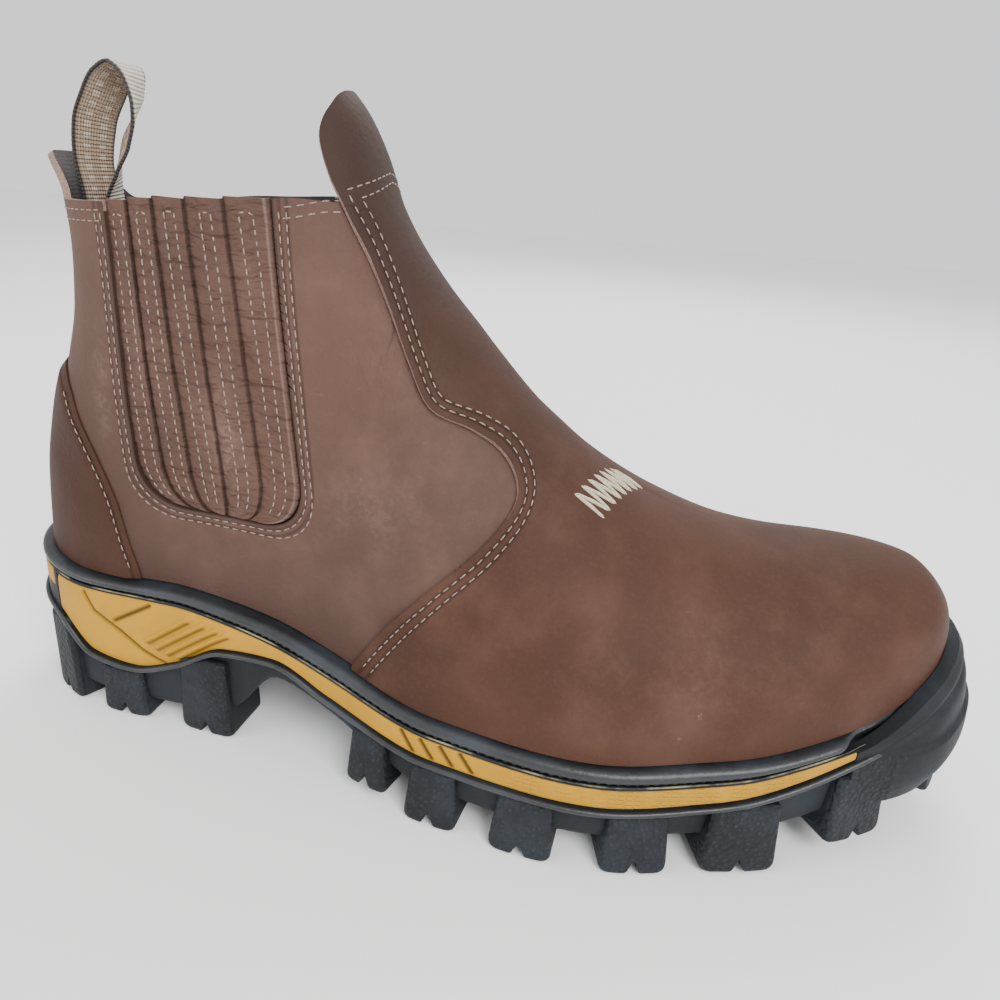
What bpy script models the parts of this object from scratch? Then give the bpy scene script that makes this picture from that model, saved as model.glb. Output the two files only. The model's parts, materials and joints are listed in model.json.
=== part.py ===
"""Pull-on work boot for the right foot: hollow leather upper on a lugged rubber sole.

Metres, +X to the toe, +Y to the inner side of the foot, +Z up, soles on z = 0.
The sole and the upper are both worked out from the same plan and level tables,
whose numbers are shares of the named sizes below.
"""
import bpy
import bmesh
import math
import numpy as np

# Driving sizes
SOLE_LENGTH = 0.305
BALL_WIDTH = 0.112
HEEL_HEIGHT = 0.052        # floor to the top of the welt, beside the heel
COLLAR_HEIGHT = 0.170      # floor to the edge of the collar at the back
INSTEP_HEIGHT = 0.120      # floor to the ridge of the upper over the instep
SHAFT_LENGTH = 0.127       # from the back of the sole to the front of the shaft
SHAFT_WIDTH = 0.067

# Walls and clearances
FIT = 0.0003               # gap between pieces that touch
WALL = 0.0020              # quarter leather and lining together
OVERLAY = 0.0016           # vamp and counter leather
WELT_LIP = 0.0030          # welt that shows outside the overlays
BAND_DEPTH = 0.0040
RIM = 0.0008               # light rim above and below the side band
INSOLE_THICKNESS = 0.0040
INSOLE_PLAY = 0.0035       # from the inner wall of the upper to the insole
WELT_SEAT = 0.0130         # how far the welt reaches in under the upper
LONG_FIT = 0.0009          # gap under the insole, whose long facets bridge the curve of the sole
FLOOR_FIT = 0.0006         # gap under the upper, whose facets bridge the curve of the welt
BUMPER_DEPTH = 0.0030
LUG_REACH = 0.0180         # how far a side lug reaches in from the edge
UNDERCUT = 0.0022          # sole wall behind the rim of the band
EDGE_IN, EDGE_UP = 0.0040, 0.0030      # slope where the sole's wall turns under
BAR_ROOT = 0.0040          # how far a tread bar reaches up into the sole

# Grid sizes
RING_POINTS = 21           # points on each side of the upper from back to front
RING_ROWS = 15
RING_STEP = 0.09           # between rows above the collar
SOLE_POINTS = 28           # points on each side of the sole outline

# Plan of the sole: share of length, centre line and half width as shares of ball width
PLAN = np.array([
    (0.00, 0.00, 0.30),
    (0.10, 0.00, 0.30),
    (0.20, 0.01, 0.325),
    (0.35, -0.03, 0.345),
    (0.50, -0.09, 0.405),
    (0.66, -0.04, 0.50),
    (0.78, -0.01, 0.462),
    (0.88, 0.035, 0.455),
    (1.00, 0.055, 0.43),
])
HEEL_ROUND = 0.14          # share of length that the round heel end takes
TOE_ROUND = 0.25
END_POWER = 2.2
PLAN_COLUMNS = ("share", "centre", "width")

# Levels along the side: share of length, then welt top, band top, band bottom,
# underside and tread, as shares of heel height
LEVELS = np.array([
    (0.00, 1.08, 0.98, 0.74, 0.20, 0.06),
    (0.05, 1.02, 0.94, 0.66, 0.13, 0.00),
    (0.10, 0.99, 0.92, 0.44, 0.11, 0.00),
    (0.15, 0.99, 0.92, 0.40, 0.11, 0.00),
    (0.20, 1.00, 0.92, 0.49, 0.11, 0.00),
    (0.26, 0.97, 0.88, 0.67, 0.18, 0.00),
    (0.32, 0.92, 0.82, 0.70, 0.52, 0.12),
    (0.38, 0.82, 0.72, 0.57, 0.41, 0.12),
    (0.50, 0.67, 0.58, 0.42, 0.16, 0.00),
    (0.65, 0.64, 0.55, 0.40, 0.15, 0.00),
    (0.76, 0.68, 0.59, 0.45, 0.18, 0.00),
    (0.84, 0.76, 0.69, 0.58, 0.24, 0.06),
    (0.90, 0.86, 0.78, 0.71, 0.34, 0.15),
    (0.96, 1.02, 0.87, 0.82, 0.44, 0.28),
    (1.00, 1.17, 0.93, 0.90, 0.50, 0.35),
])
LEVEL_COLUMNS = ("share", "welt top", "band top", "band low", "underside", "tread")

# Ridge of the upper over the toe, instep and shaft: ring, share of length, share of
# instep height above the floor
RIDGE = np.array([
    (0.00, 1.000, 0.515),
    (0.08, 0.988, 0.595),
    (0.16, 0.962, 0.646),
    (0.24, 0.910, 0.664),
    (0.32, 0.840, 0.670),
    (0.40, 0.770, 0.694),
    (0.50, 0.690, 0.758),
    (0.60, 0.617, 0.852),
    (0.70, 0.551, 0.978),
    (0.80, 0.494, 1.118),
    (0.90, 0.438, 1.265),
    (1.00, 0.393, 1.430),
    (1.10, 0.375, 1.545),
    (1.20, 0.358, 1.620),
    (1.30, 0.336, 1.680),
    (1.45, 0.305, 1.765),
])
# Roof over the shaft, above every ring: share of sole length, share of instep height
SHAFT_ROOF = np.array([(0.00, 4.0), (0.20, 3.6), (0.28, 2.6)])
# Back of the upper: ring, share of sole length behind or before the heel, share of
# collar height above the floor
BACK = np.array([
    (0.00, 0.000, 0.320),
    (0.15, 0.004, 0.415),
    (0.30, 0.012, 0.515),
    (0.45, 0.026, 0.615),
    (0.60, 0.044, 0.710),
    (0.75, 0.057, 0.805),
    (0.90, 0.061, 0.910),
    (1.00, 0.058, 0.980),
    (1.15, 0.033, 1.055),
    (1.30, 0.006, 1.130),
])
PROFILE_COLUMNS = ("ring", "along", "up")   # of both tables
SIDE_DIP = 0.024           # dip of the collar at the sides, share of collar height
SHAFT_CENTRE = -0.002      # side offset of the front of the shaft, to the outer side
SHAFT_FROM, SHAFT_TO = 0.060, 0.140    # heights over which foot width turns to shaft width
SHAFT_BACK_ROUND = 0.046
ROOF_POWER = np.array([(0.00, 3.2), (0.42, 3.0), (0.60, 2.2), (0.80, 2.3), (1.00, 2.6)])
ROOF_ROOT = 2.2

# Tabs of the collar
BACK_TAB_RISE = 0.13       # share of the ring count above the collar
BACK_TAB_HALF = 0.011
BACK_TAB_SQUARE = 1.6      # how far out the tab keeps its full rise, in halves
FRONT_RISE = 0.22
FRONT_HALF = 0.020

# Side-view outlines: x as share of sole length, z as share of collar height
VAMP_EDGE = np.array([
    (0.385, 0.150),
    (0.403, 0.230),
    (0.445, 0.350),
    (0.483, 0.434),
    (0.523, 0.506),
    (0.546, 0.563),
    (0.545, 0.603),
    (0.527, 0.644),
    (0.499, 0.674),
    (0.462, 0.702),
    (0.440, 0.761),
    (0.411, 0.865),
    (0.374, 0.990),
    (0.357, 1.045),
    (0.345, 1.100),
    (0.347, 1.140),
    (0.356, 1.175),
    (0.395, 1.198),
])
COUNTER_EDGE = np.array([
    (0.166, 0.200),
    (0.161, 0.307),
    (0.151, 0.374),
    (0.139, 0.467),
    (0.123, 0.547),
    (0.105, 0.610),
    (0.090, 0.660),
    (0.060, 0.695),
    (-0.050, 0.700),
])
# Side panel opening: edges at its foot and at the collar, foot height and corner height
PANEL_LOW = (0.172, 0.353)
PANEL_TOP = (0.161, 0.313)
PANEL_FOOT = 0.470
PANEL_CORNER = 0.090
PANEL_FLAT = 0.45          # share of the width that the foot keeps flat
PANEL_FOOT_STEPS = (0.0, 0.04, 0.15, 0.35, 0.65)   # rows in the corner, shares of its height
PANEL_ROWS = 4             # rows from the corner to the collar
PANEL_CUT_TOP = 1.4        # share of collar height that the opening's cutter reaches
PLEATS = 6
PLEAT_STEP = 0.0010
PLEAT_GAP = 0.04           # share of a pleat that its step takes

# Side lugs: centre as share of length, width and stand-out in metres, on both sides
LUGS = (
    (0.050, 0.016, -0.0006), (0.135, 0.018, -0.0006), (0.235, 0.020, -0.0006),
    (0.430, 0.015, 0.0010), (0.500, 0.017, 0.0014), (0.590, 0.019, 0.0016),
    (0.695, 0.020, 0.0016), (0.792, 0.023, 0.0016), (0.900, 0.021, 0.0020),
    (0.982, 0.022, 0.0045),
)
BACK_LUG_OUT = -0.0006
FRONT_LUG_OUT = 0.0050
END_LUG_WIDTH = 0.014
LUG_TAPER = 0.0016
LUG_DROP = 0.0022          # from the rim of the band down to the head of a lug
LUG_TOE_DROP = 0.0050      # more of it towards the toe, over the shares of length below
LUG_TOE_SPAN = (0.78, 0.90)
LUG_HEAD = 0.0             # how far the head of a lug stands out of the outline
NOTCH_HALF = 0.0022
NOTCH_HEIGHT = 0.0050
# Chevron bars between the side lugs: centre as share of length and half width in metres
BARS = ((0.120, 0.008), (0.215, 0.011), (0.500, 0.016), (0.590, 0.022),
        (0.685, 0.026), (0.780, 0.022), (0.870, 0.018))
BAR_LENGTH = 0.010
BAR_BEND = 0.007
BAND_SPAN = (0.055, 0.900)
BAND_BACK_REACH = 0.022    # share of length that the patch at the heel's back takes
BAND_BACK_LEVELS = (0.82, 0.97)
BUMPER_FROM = 0.885
BUMPER_CURVE = 0.070       # share of length over which the bumper grows
BUMPER_EASE = 0.030        # share of length over which the welt steps in behind it
# Bumper section: share of height from underside to lip, stand-out in metres
BUMPER = np.array([(0.00, 0.0035), (0.35, 0.0062), (0.72, 0.0046), (1.00, 0.0004)])

# Welt section: share of its height, inset in metres, share of the step behind the bumper
WELT_SECTION = np.array([
    (0.00, 0.0022, 1.0),
    (0.22, 0.0006, 1.0),
    (0.55, 0.0002, 1.0),
    (0.88, 0.0010, 0.8),
    (1.00, 0.0026, 0.5),
])

# Webbing loop: middle line forward of the collar's back and above it, and turn of its width
LOOP_WIDTH = 0.015
LOOP_THICKNESS = 0.0012
LOOP_STEPS = 24
LOOP_PATH = np.array([
    (0.0066, -0.014, 4),
    (0.0067, -0.004, 6),
    (0.0056, 0.007, 12),
    (0.0070, 0.017, 18),
    (0.0108, 0.025, 20),
    (0.0142, 0.0305, 14),
    (0.0178, 0.0330, 6),
    (0.0204, 0.0300, -6),
    (0.0210, 0.0245, -18),
    (0.0196, 0.0185, -32),
    (0.0166, 0.0120, -40),
    (0.0134, 0.0045, -30),
    (0.0114, -0.0040, -14),
    (0.0108, -0.0140, -4),
])


def smooth(t):
    t = np.clip(t, 0.0, 1.0)
    return t * t * (3.0 - 2.0 * t)


def curve(table, column, share):
    """Smooth curve through one column of a table: cubic pieces with slopes that never overshoot."""
    x = table[:, 0]
    y = table[:, column]
    share = np.asarray(share, float)
    step = np.diff(x)
    rise = np.diff(y) / step
    slope = np.zeros_like(y)
    turn = rise[:-1] * rise[1:] > 0
    before, after = step[:-1], step[1:]
    weight_a, weight_b = 2 * after + before, after + 2 * before
    with np.errstate(divide="ignore", invalid="ignore"):
        mean = (weight_a + weight_b) / (weight_a / rise[:-1] + weight_b / rise[1:])
    slope[1:-1] = np.where(turn, mean, 0.0)
    slope[0], slope[-1] = rise[0], rise[-1]
    i = np.clip(np.searchsorted(x, share, side="right") - 1, 0, len(x) - 2)
    t = np.clip((share - x[i]) / step[i], 0.0, 1.0)
    return ((1 + 2 * t) * (1 - t) ** 2 * y[i] + t * (1 - t) ** 2 * step[i] * slope[i]
            + t * t * (3 - 2 * t) * y[i + 1] + t * t * (t - 1) * step[i] * slope[i + 1])


def end_round(distance, reach, power=END_POWER):
    """Superellipse end: 0 at the very end, 1 once the distance passes the reach."""
    t = np.clip(1.0 - np.asarray(distance, float) / reach, 0.0, 1.0)
    return (1.0 - t ** power) ** (1.0 / power)


def centre_line(share):
    return curve(PLAN, PLAN_COLUMNS.index("centre"), share) * BALL_WIDTH


def plan_width(share):
    return curve(PLAN, PLAN_COLUMNS.index("width"), share)


def half_width(share, inset=0.0):
    """Half width of the sole outline, moved in by the inset and rounded at both ends."""
    ends = end_round(share, HEEL_ROUND) * end_round(1.0 - share, TOE_ROUND)
    return (plan_width(share) * BALL_WIDTH - inset) * ends


def level(name, share):
    return curve(LEVELS, LEVEL_COLUMNS.index(name), share) * HEEL_HEIGHT


def outline(share, side, inset=0.0):
    """Point of the plan outline: share of length, side -1 outer or +1 inner, inset in metres."""
    x = inset + share * (SOLE_LENGTH - 2.0 * inset)
    y = centre_line(share) + side * half_width(share, inset)
    return x, y


def sole_shares(count=SOLE_POINTS):
    return (1.0 - np.cos(np.linspace(0.0, math.pi, count))) / 2.0


def sole_ring(inset, height):
    """Closed ring round the sole; inset and height may be numbers or functions of the share."""
    share = sole_shares()
    inset_at = inset(share) if callable(inset) else np.full_like(share, inset)
    x, outer = outline(share, -1.0, inset_at)
    inner = outline(share, 1.0, inset_at)[1]
    z = height(x / SOLE_LENGTH)
    near = np.stack([x, outer, z], 1)
    far = np.stack([x, inner, z], 1)
    middle = (near[[0, -1]] + far[[0, -1]]) / 2.0
    return np.concatenate([middle[:1], near[1:-1], middle[1:], far[1:-1][::-1]])


def foot_inset():
    return WELT_LIP + FIT + OVERLAY


def profile(table, name):
    """One column of the ridge or back table."""
    return table[:, PROFILE_COLUMNS.index(name)]


def roof_height(x):
    """Height of the ridge above any x of the upper, carried on upwards over the shaft."""
    inset = foot_inset()
    ridge_x = inset + profile(RIDGE, "along")[::-1] * (SOLE_LENGTH - 2.0 * inset)
    ridge_z = profile(RIDGE, "up")[::-1] * INSTEP_HEIGHT
    over = SHAFT_ROOF * np.array([SOLE_LENGTH, INSTEP_HEIGHT])
    return curve(np.concatenate([over, np.stack([ridge_x, ridge_z], 1)]), 1, x)


def back_x(z):
    """Back of the upper at a height."""
    inset = foot_inset()
    table = np.stack([profile(BACK, "up") * COLLAR_HEIGHT, inset + profile(BACK, "along") * SOLE_LENGTH], 1)
    return curve(table, 1, z)


def floor_height(x):
    """Lower edge of the upper, on top of the welt."""
    return level("welt top", np.clip(x / SOLE_LENGTH, 0.0, 1.0)) + FLOOR_FIT


def side_shape(x, z):
    """Centre line and half width of the upper where x is the length and z the height.

    Foot width turns into shaft width with height; the back is a superellipse end that
    starts at the back line, and the roof closes as the height nears the ridge.
    """
    inset = foot_inset()
    share = np.clip((x - inset) / (SOLE_LENGTH - 2.0 * inset), 0.0, 1.0)
    lift = smooth((z - SHAFT_FROM) / (SHAFT_TO - SHAFT_FROM))
    foot = (plan_width(share) * BALL_WIDTH - inset) * end_round(1.0 - share, TOE_ROUND)
    width = foot * (1.0 - lift) + SHAFT_WIDTH / 2.0 * lift
    reach = HEEL_ROUND * SOLE_LENGTH * (1.0 - lift) + SHAFT_BACK_ROUND * lift
    back = end_round(x - back_x(z), reach)
    low = floor_height(x)
    rise = np.clip((z - low) / np.maximum(roof_height(x) - low, 1e-6), 0.0, 1.0)
    power = curve(ROOF_POWER, 1, share)
    roof = (1.0 - rise ** power) ** (1.0 / ROOF_ROOT)
    shaft_line = SHAFT_CENTRE * smooth((x - SHAFT_BACK_ROUND) / (SHAFT_LENGTH - SHAFT_BACK_ROUND))
    centre = centre_line(share) * (1.0 - lift) + shaft_line * lift
    return centre, width * back * roof


def ring_ends(ring):
    """Back point and front point of a ring, both as x and z."""
    inset = foot_inset()
    back_z = curve(BACK, PROFILE_COLUMNS.index("up"), ring) * COLLAR_HEIGHT
    back_z = np.maximum(back_z, floor_height(back_x(back_z)))
    front_x = inset + curve(RIDGE, PROFILE_COLUMNS.index("along"), ring) * (SOLE_LENGTH - 2.0 * inset)
    return back_x(back_z), back_z, front_x, roof_height(front_x)


def upper_point(ring, turn):
    """Point of the upper's outer face.

    The ring runs from 0 at the welt to 1 at the collar. The turn runs from 0 at the back,
    through the outer side, to pi at the front and 2 pi at the back again. The height of a
    ring above the welt line goes evenly from its back point to its point on the ridge.
    """
    start_x, start_z, end_x, end_z = ring_ends(ring)
    along = (1.0 - np.cos(turn)) / 2.0
    x = start_x + (end_x - start_x) * along
    above_back = start_z - floor_height(start_x)
    above_front = end_z - floor_height(end_x)
    z = floor_height(x) + above_back + (above_front - above_back) * along
    z = z - SIDE_DIP * COLLAR_HEIGHT * ring ** 2 * np.sin(turn) ** 2
    x = np.maximum(x, back_x(z))
    centre, half = side_shape(x, z)
    side = np.where(np.sin(turn) >= 0.0, -1.0, 1.0)
    ends = np.abs(np.sin(turn)) > 1e-6
    return np.stack([x, centre + side * half * ends, z], -1)


def collar_ring(turn):
    """Ring of the collar edge: 1, with a narrow tab at the back and a rise behind the front tab."""
    x, y, z = np.moveaxis(upper_point(np.ones_like(turn), turn), -1, 0)
    centre = side_shape(x, z)[0]
    back = np.cos(turn) > 0.0
    sideways = np.abs(y - centre)
    back_tab = BACK_TAB_RISE * smooth(BACK_TAB_SQUARE - sideways / BACK_TAB_HALF)
    front_tab = FRONT_RISE * smooth(1.0 - sideways / FRONT_HALF)
    return 1.0 + np.where(back, back_tab, front_tab)


def new_mesh(name, points, faces):
    mesh = bpy.data.meshes.new(name)
    mesh.from_pydata([tuple(p) for p in points], [], faces)
    box = bmesh.new()
    box.from_mesh(mesh)
    bmesh.ops.remove_doubles(box, verts=box.verts, dist=1e-6)
    bmesh.ops.recalc_face_normals(box, faces=box.faces)
    box.to_mesh(mesh)
    box.free()
    return mesh


def grid_faces(rows, columns, closed=False):
    """Triangles of a grid of rows by columns, the columns closed into a ring if asked.

    Every quad is cut along the same diagonal, so two layers of one grid stay parallel.
    """
    faces = []
    last = columns if closed else columns - 1
    for i in range(rows - 1):
        for j in range(last):
            k = (j + 1) % columns
            a, b = i * columns + j, i * columns + k
            c, d = a + columns, b + columns
            faces += [(a, b, d), (a, d, c)]
    return faces


def slab_mesh(name, outer, inner):
    """Closed solid between two open grids of the same size."""
    rows, columns = outer.shape[:2]
    count = rows * columns
    points = np.concatenate([outer.reshape(-1, 3), inner.reshape(-1, 3)])
    faces = grid_faces(rows, columns)
    faces += [tuple(count + k for k in reversed(f)) for f in grid_faces(rows, columns)]
    border = [i for i in range(columns)]
    border += [i * columns + columns - 1 for i in range(1, rows)]
    border += [(rows - 1) * columns + j for j in range(columns - 2, -1, -1)]
    border += [i * columns for i in range(rows - 2, 0, -1)]
    for a, b in zip(border, border[1:] + border[:1]):
        faces.append((a, count + a, count + b, b))
    return new_mesh(name, points, faces)


def tube_mesh(name, outer, inner):
    """Closed wall between two grids whose columns run right round."""
    rows, columns = outer.shape[:2]
    count = rows * columns
    points = np.concatenate([outer.reshape(-1, 3), inner.reshape(-1, 3)])
    faces = grid_faces(rows, columns, closed=True)
    faces += [tuple(count + k for k in reversed(f)) for f in grid_faces(rows, columns, closed=True)]
    for row in (0, rows - 1):
        for j in range(columns):
            a, b = row * columns + j, row * columns + (j + 1) % columns
            faces.append((a, b, count + b, count + a))
    return new_mesh(name, points, faces)


def stack_mesh(name, rings):
    """Solid from rings round the sole, one above the other, closed by strips across each end."""
    columns = len(rings[0])
    faces = grid_faces(len(rings), columns, closed=True)
    top = (len(rings) - 1) * columns
    for base in (0, top):
        faces.append((base, base + 1, base + columns - 1))
        for k in range(1, columns // 2 - 1):
            faces.append((base + k, base + k + 1, base + columns - k - 1, base + columns - k))
        half = columns // 2
        faces.append((base + half - 1, base + half, base + half + 1))
    return new_mesh(name, np.concatenate(rings), faces)


def ring_mesh(name, rings):
    """Solid ring: the rings are the corners of its section, in order."""
    rows, columns = len(rings), len(rings[0])
    faces = [(i * columns + j, i * columns + (j + 1) % columns,
              (i + 1) % rows * columns + (j + 1) % columns, (i + 1) % rows * columns + j)
             for i in range(rows) for j in range(columns)]
    return new_mesh(name, np.concatenate(rings), faces)


def prism_mesh(name, base, head):
    """Prism or frustum between two polygons with as many corners."""
    count = len(base)
    faces = [tuple(range(count)), tuple(range(2 * count - 1, count - 1, -1))]
    faces += [(k, (k + 1) % count, count + (k + 1) % count, count + k) for k in range(count)]
    return new_mesh(name, list(base) + list(head), faces)


def side_prism(name, polygon, near, far):
    """Side-view polygon of x and z carried across the boot from near to far."""
    return prism_mesh(name, [(x, near, z) for x, z in polygon], [(x, far, z) for x, z in polygon])


def flowing(points, steps=3):
    """Smooth line through side-view points, as shares turned into metres."""
    points = points * np.array([SOLE_LENGTH, COLLAR_HEIGHT])
    padded = np.concatenate([2 * points[:1] - points[1:2], points, 2 * points[-1:] - points[-2:-1]])
    line = []
    for k in range(1, len(padded) - 2):
        a, b, c, d = padded[k - 1:k + 3]
        for t in np.arange(steps) / steps:
            line.append(b + 0.5 * t * (c - a + t * (2 * a - 5 * b + 4 * c - d
                                                    + t * (3 * b - a - 3 * c + d))))
    line.append(points[-1])
    return np.array(line)


def material(name, colour, roughness, metallic=0.0):
    made = bpy.data.materials.new(name)
    made.use_nodes = True
    shader = made.node_tree.nodes["Principled BSDF"]
    shader.inputs["Base Color"].default_value = (*colour, 1.0)
    shader.inputs["Roughness"].default_value = roughness
    shader.inputs["Metallic"].default_value = metallic
    return made


BROWN = (0.115, 0.058, 0.042)
RUBBER = (0.022, 0.025, 0.027)
OCHRE = (0.52, 0.33, 0.12)
TAN = (0.36, 0.26, 0.19)


class Boot:
    """Collections of the boot and the empty that carries it."""

    def __init__(self):
        scene = bpy.context.scene.collection
        self.parts = bpy.data.collections.new("work_boot")
        self.cutters = bpy.data.collections.new("cutters")
        scene.children.link(self.parts)
        scene.children.link(self.cutters)
        self.root = bpy.data.objects.new("boot_origin", None)
        self.parts.objects.link(self.root)

    def part(self, name, mesh, colour, roughness):
        made = bpy.data.objects.new(name, mesh)
        mesh.materials.append(material(name + "_finish", colour, roughness))
        self.parts.objects.link(made)
        made.parent = self.root
        mesh.shade_smooth()
        mesh.set_sharp_from_angle(angle=math.radians(35))
        return made

    def cutter(self, name, mesh, group=None):
        made = bpy.data.objects.new(name, mesh)
        (group or self.cutters).objects.link(made)
        made.parent = self.root
        made.hide_render = True
        made.display_type = "WIRE"
        return made

    def group(self, name):
        made = bpy.data.collections.new(name)
        self.cutters.children.link(made)
        return made

    def centre(self):
        """Puts the middle of the boot's footprint on the origin."""
        bpy.context.view_layer.update()
        graph = bpy.context.evaluated_depsgraph_get()
        corners = []
        for piece in self.parts.objects:
            if piece.type == "MESH":
                shape = piece.evaluated_get(graph)
                count = len(shape.data.vertices)
                flat = np.empty(count * 3)
                shape.data.vertices.foreach_get("co", flat)
                corners.append(flat.reshape(-1, 3))
        points = np.concatenate(corners)
        middle = (points.min(0) + points.max(0)) / 2.0
        self.root.location = (-middle[0], -middle[1], -points[:, 2].min())


def combine(piece, operation, operand=None, group=None):
    made = piece.modifiers.new(operation.lower(), "BOOLEAN")
    made.operation = operation
    made.solver = "EXACT"
    if group:
        made.operand_type = "COLLECTION"
        made.collection = group
    else:
        made.object = operand
    return made


def side_patch(name, low, high, span, side, outer_inset, inner_inset, rows=3, columns=26):
    """Closed patch on the side of the sole between two level functions."""
    share = span[0] + (span[1] - span[0]) * np.linspace(0.0, 1.0, columns)
    grids = []
    for inset in (outer_inset, inner_inset):
        x, y = outline(share, side, inset)
        z = low(share) + (high(share) - low(share)) * np.linspace(0.0, 1.0, rows)[:, None]
        grids.append(np.stack([np.broadcast_to(x, z.shape), np.broadcast_to(y, z.shape), z], -1))
    return slab_mesh(name, grids[0], grids[1])


def wrap_patch(name, low, high, reach, at_toe, outer_inset, inner_inset, rows=2, columns=13):
    """Closed patch round the heel or the toe, from one side to the other."""
    turn = np.linspace(-1.0, 1.0, columns)
    share = reach * (1.0 - np.cos(turn * math.pi / 2.0))
    share = 1.0 - share if at_toe else share
    grids = []
    for inset in (outer_inset, inner_inset):
        x, y = outline(share, np.sign(turn), inset)
        z = low(share) + (high(share) - low(share)) * np.linspace(0.0, 1.0, rows)[:, None]
        grids.append(np.stack([np.broadcast_to(x, z.shape), np.broadcast_to(y, z.shape), z], -1))
    return slab_mesh(name, grids[0], grids[1])


def lug_drop(share):
    start, end = LUG_TOE_SPAN
    return LUG_DROP + LUG_TOE_DROP * float(smooth((share - start) / (end - start)))


def outline_frame(share, side):
    """Point of the outline with its directions along the edge and straight out of it."""
    if share in (0.0, 1.0):
        outward = np.array([2.0 * share - 1.0, 0.0])
        return np.array([share * SOLE_LENGTH, float(centre_line(share))]), np.array([0.0, 1.0]), outward
    x, y = outline(share + np.array([-0.01, 0.0, 0.01]), side)
    along = np.array([x[2] - x[0], y[2] - y[0]])
    along /= np.linalg.norm(along)
    return np.array([x[1], y[1]]), along, np.array([-along[1], along[0]]) * side


def bumper_mesh(name, columns=15):
    """Toe bumper: a bulging band round the toe, from the underside up to its lip on the welt."""
    turn = np.linspace(-1.0, 1.0, columns)
    share = 1.0 - (1.0 - BUMPER_FROM) * (1.0 - np.cos(turn * math.pi / 2.0))
    grow = smooth((share - BUMPER_FROM) / BUMPER_CURVE)
    low = level("underside", share) + RIM
    top = level("band top", share) - RIM
    high = top + (level("welt top", share) - top) * grow
    z = low + (high - low) * BUMPER[:, :1]
    side = np.sign(turn)
    x, y = outline(share, side, -BUMPER[:, 1:] * grow)
    outer = np.stack([x, y, z], -1)
    x, y = outline(share, side, BUMPER_DEPTH)
    inner = np.stack([np.broadcast_to(x, z.shape), np.broadcast_to(y, z.shape), z], -1)
    return slab_mesh(name, outer, inner)


def lug_mesh(name, share, width, stand, side):
    """Side lug: a tapered block with a notch under its middle, square to the outline."""
    at, along, outward = outline_frame(share, side)
    low = float(level("tread", share))
    high = float(level("band low", share)) - lug_drop(share)
    foot = width / 2.0
    head = foot - LUG_TAPER
    profile = [(-foot, low, stand), (-NOTCH_HALF, low, stand), (0.0, low + NOTCH_HEIGHT, stand),
               (NOTCH_HALF, low, stand), (foot, low, stand), (head, high, LUG_HEAD),
               (-head, high, LUG_HEAD)]
    outer = [(*(at + along * t + outward * out), z) for t, z, out in profile]
    inner = [(*(at + along * t - outward * LUG_REACH), z) for t, z, out in profile]
    return prism_mesh(name, outer, inner)


def bar_mesh(name, share, half):
    """Chevron bar across the middle of the tread, its point towards the toe."""
    x = share * SOLE_LENGTH
    y = float(centre_line(share))
    back = x - BAR_LENGTH / 2.0
    front = x + BAR_LENGTH / 2.0
    plan = [(back, y - half), (back + BAR_BEND, y), (back, y + half),
            (front, y + half), (front + BAR_BEND, y), (front, y - half)]
    low = float(level("tread", share))
    high = float(level("underside", share)) + BAR_ROOT
    return prism_mesh(name, [(a, b, low) for a, b in plan], [(a, b, high) for a, b in plan])


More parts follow.
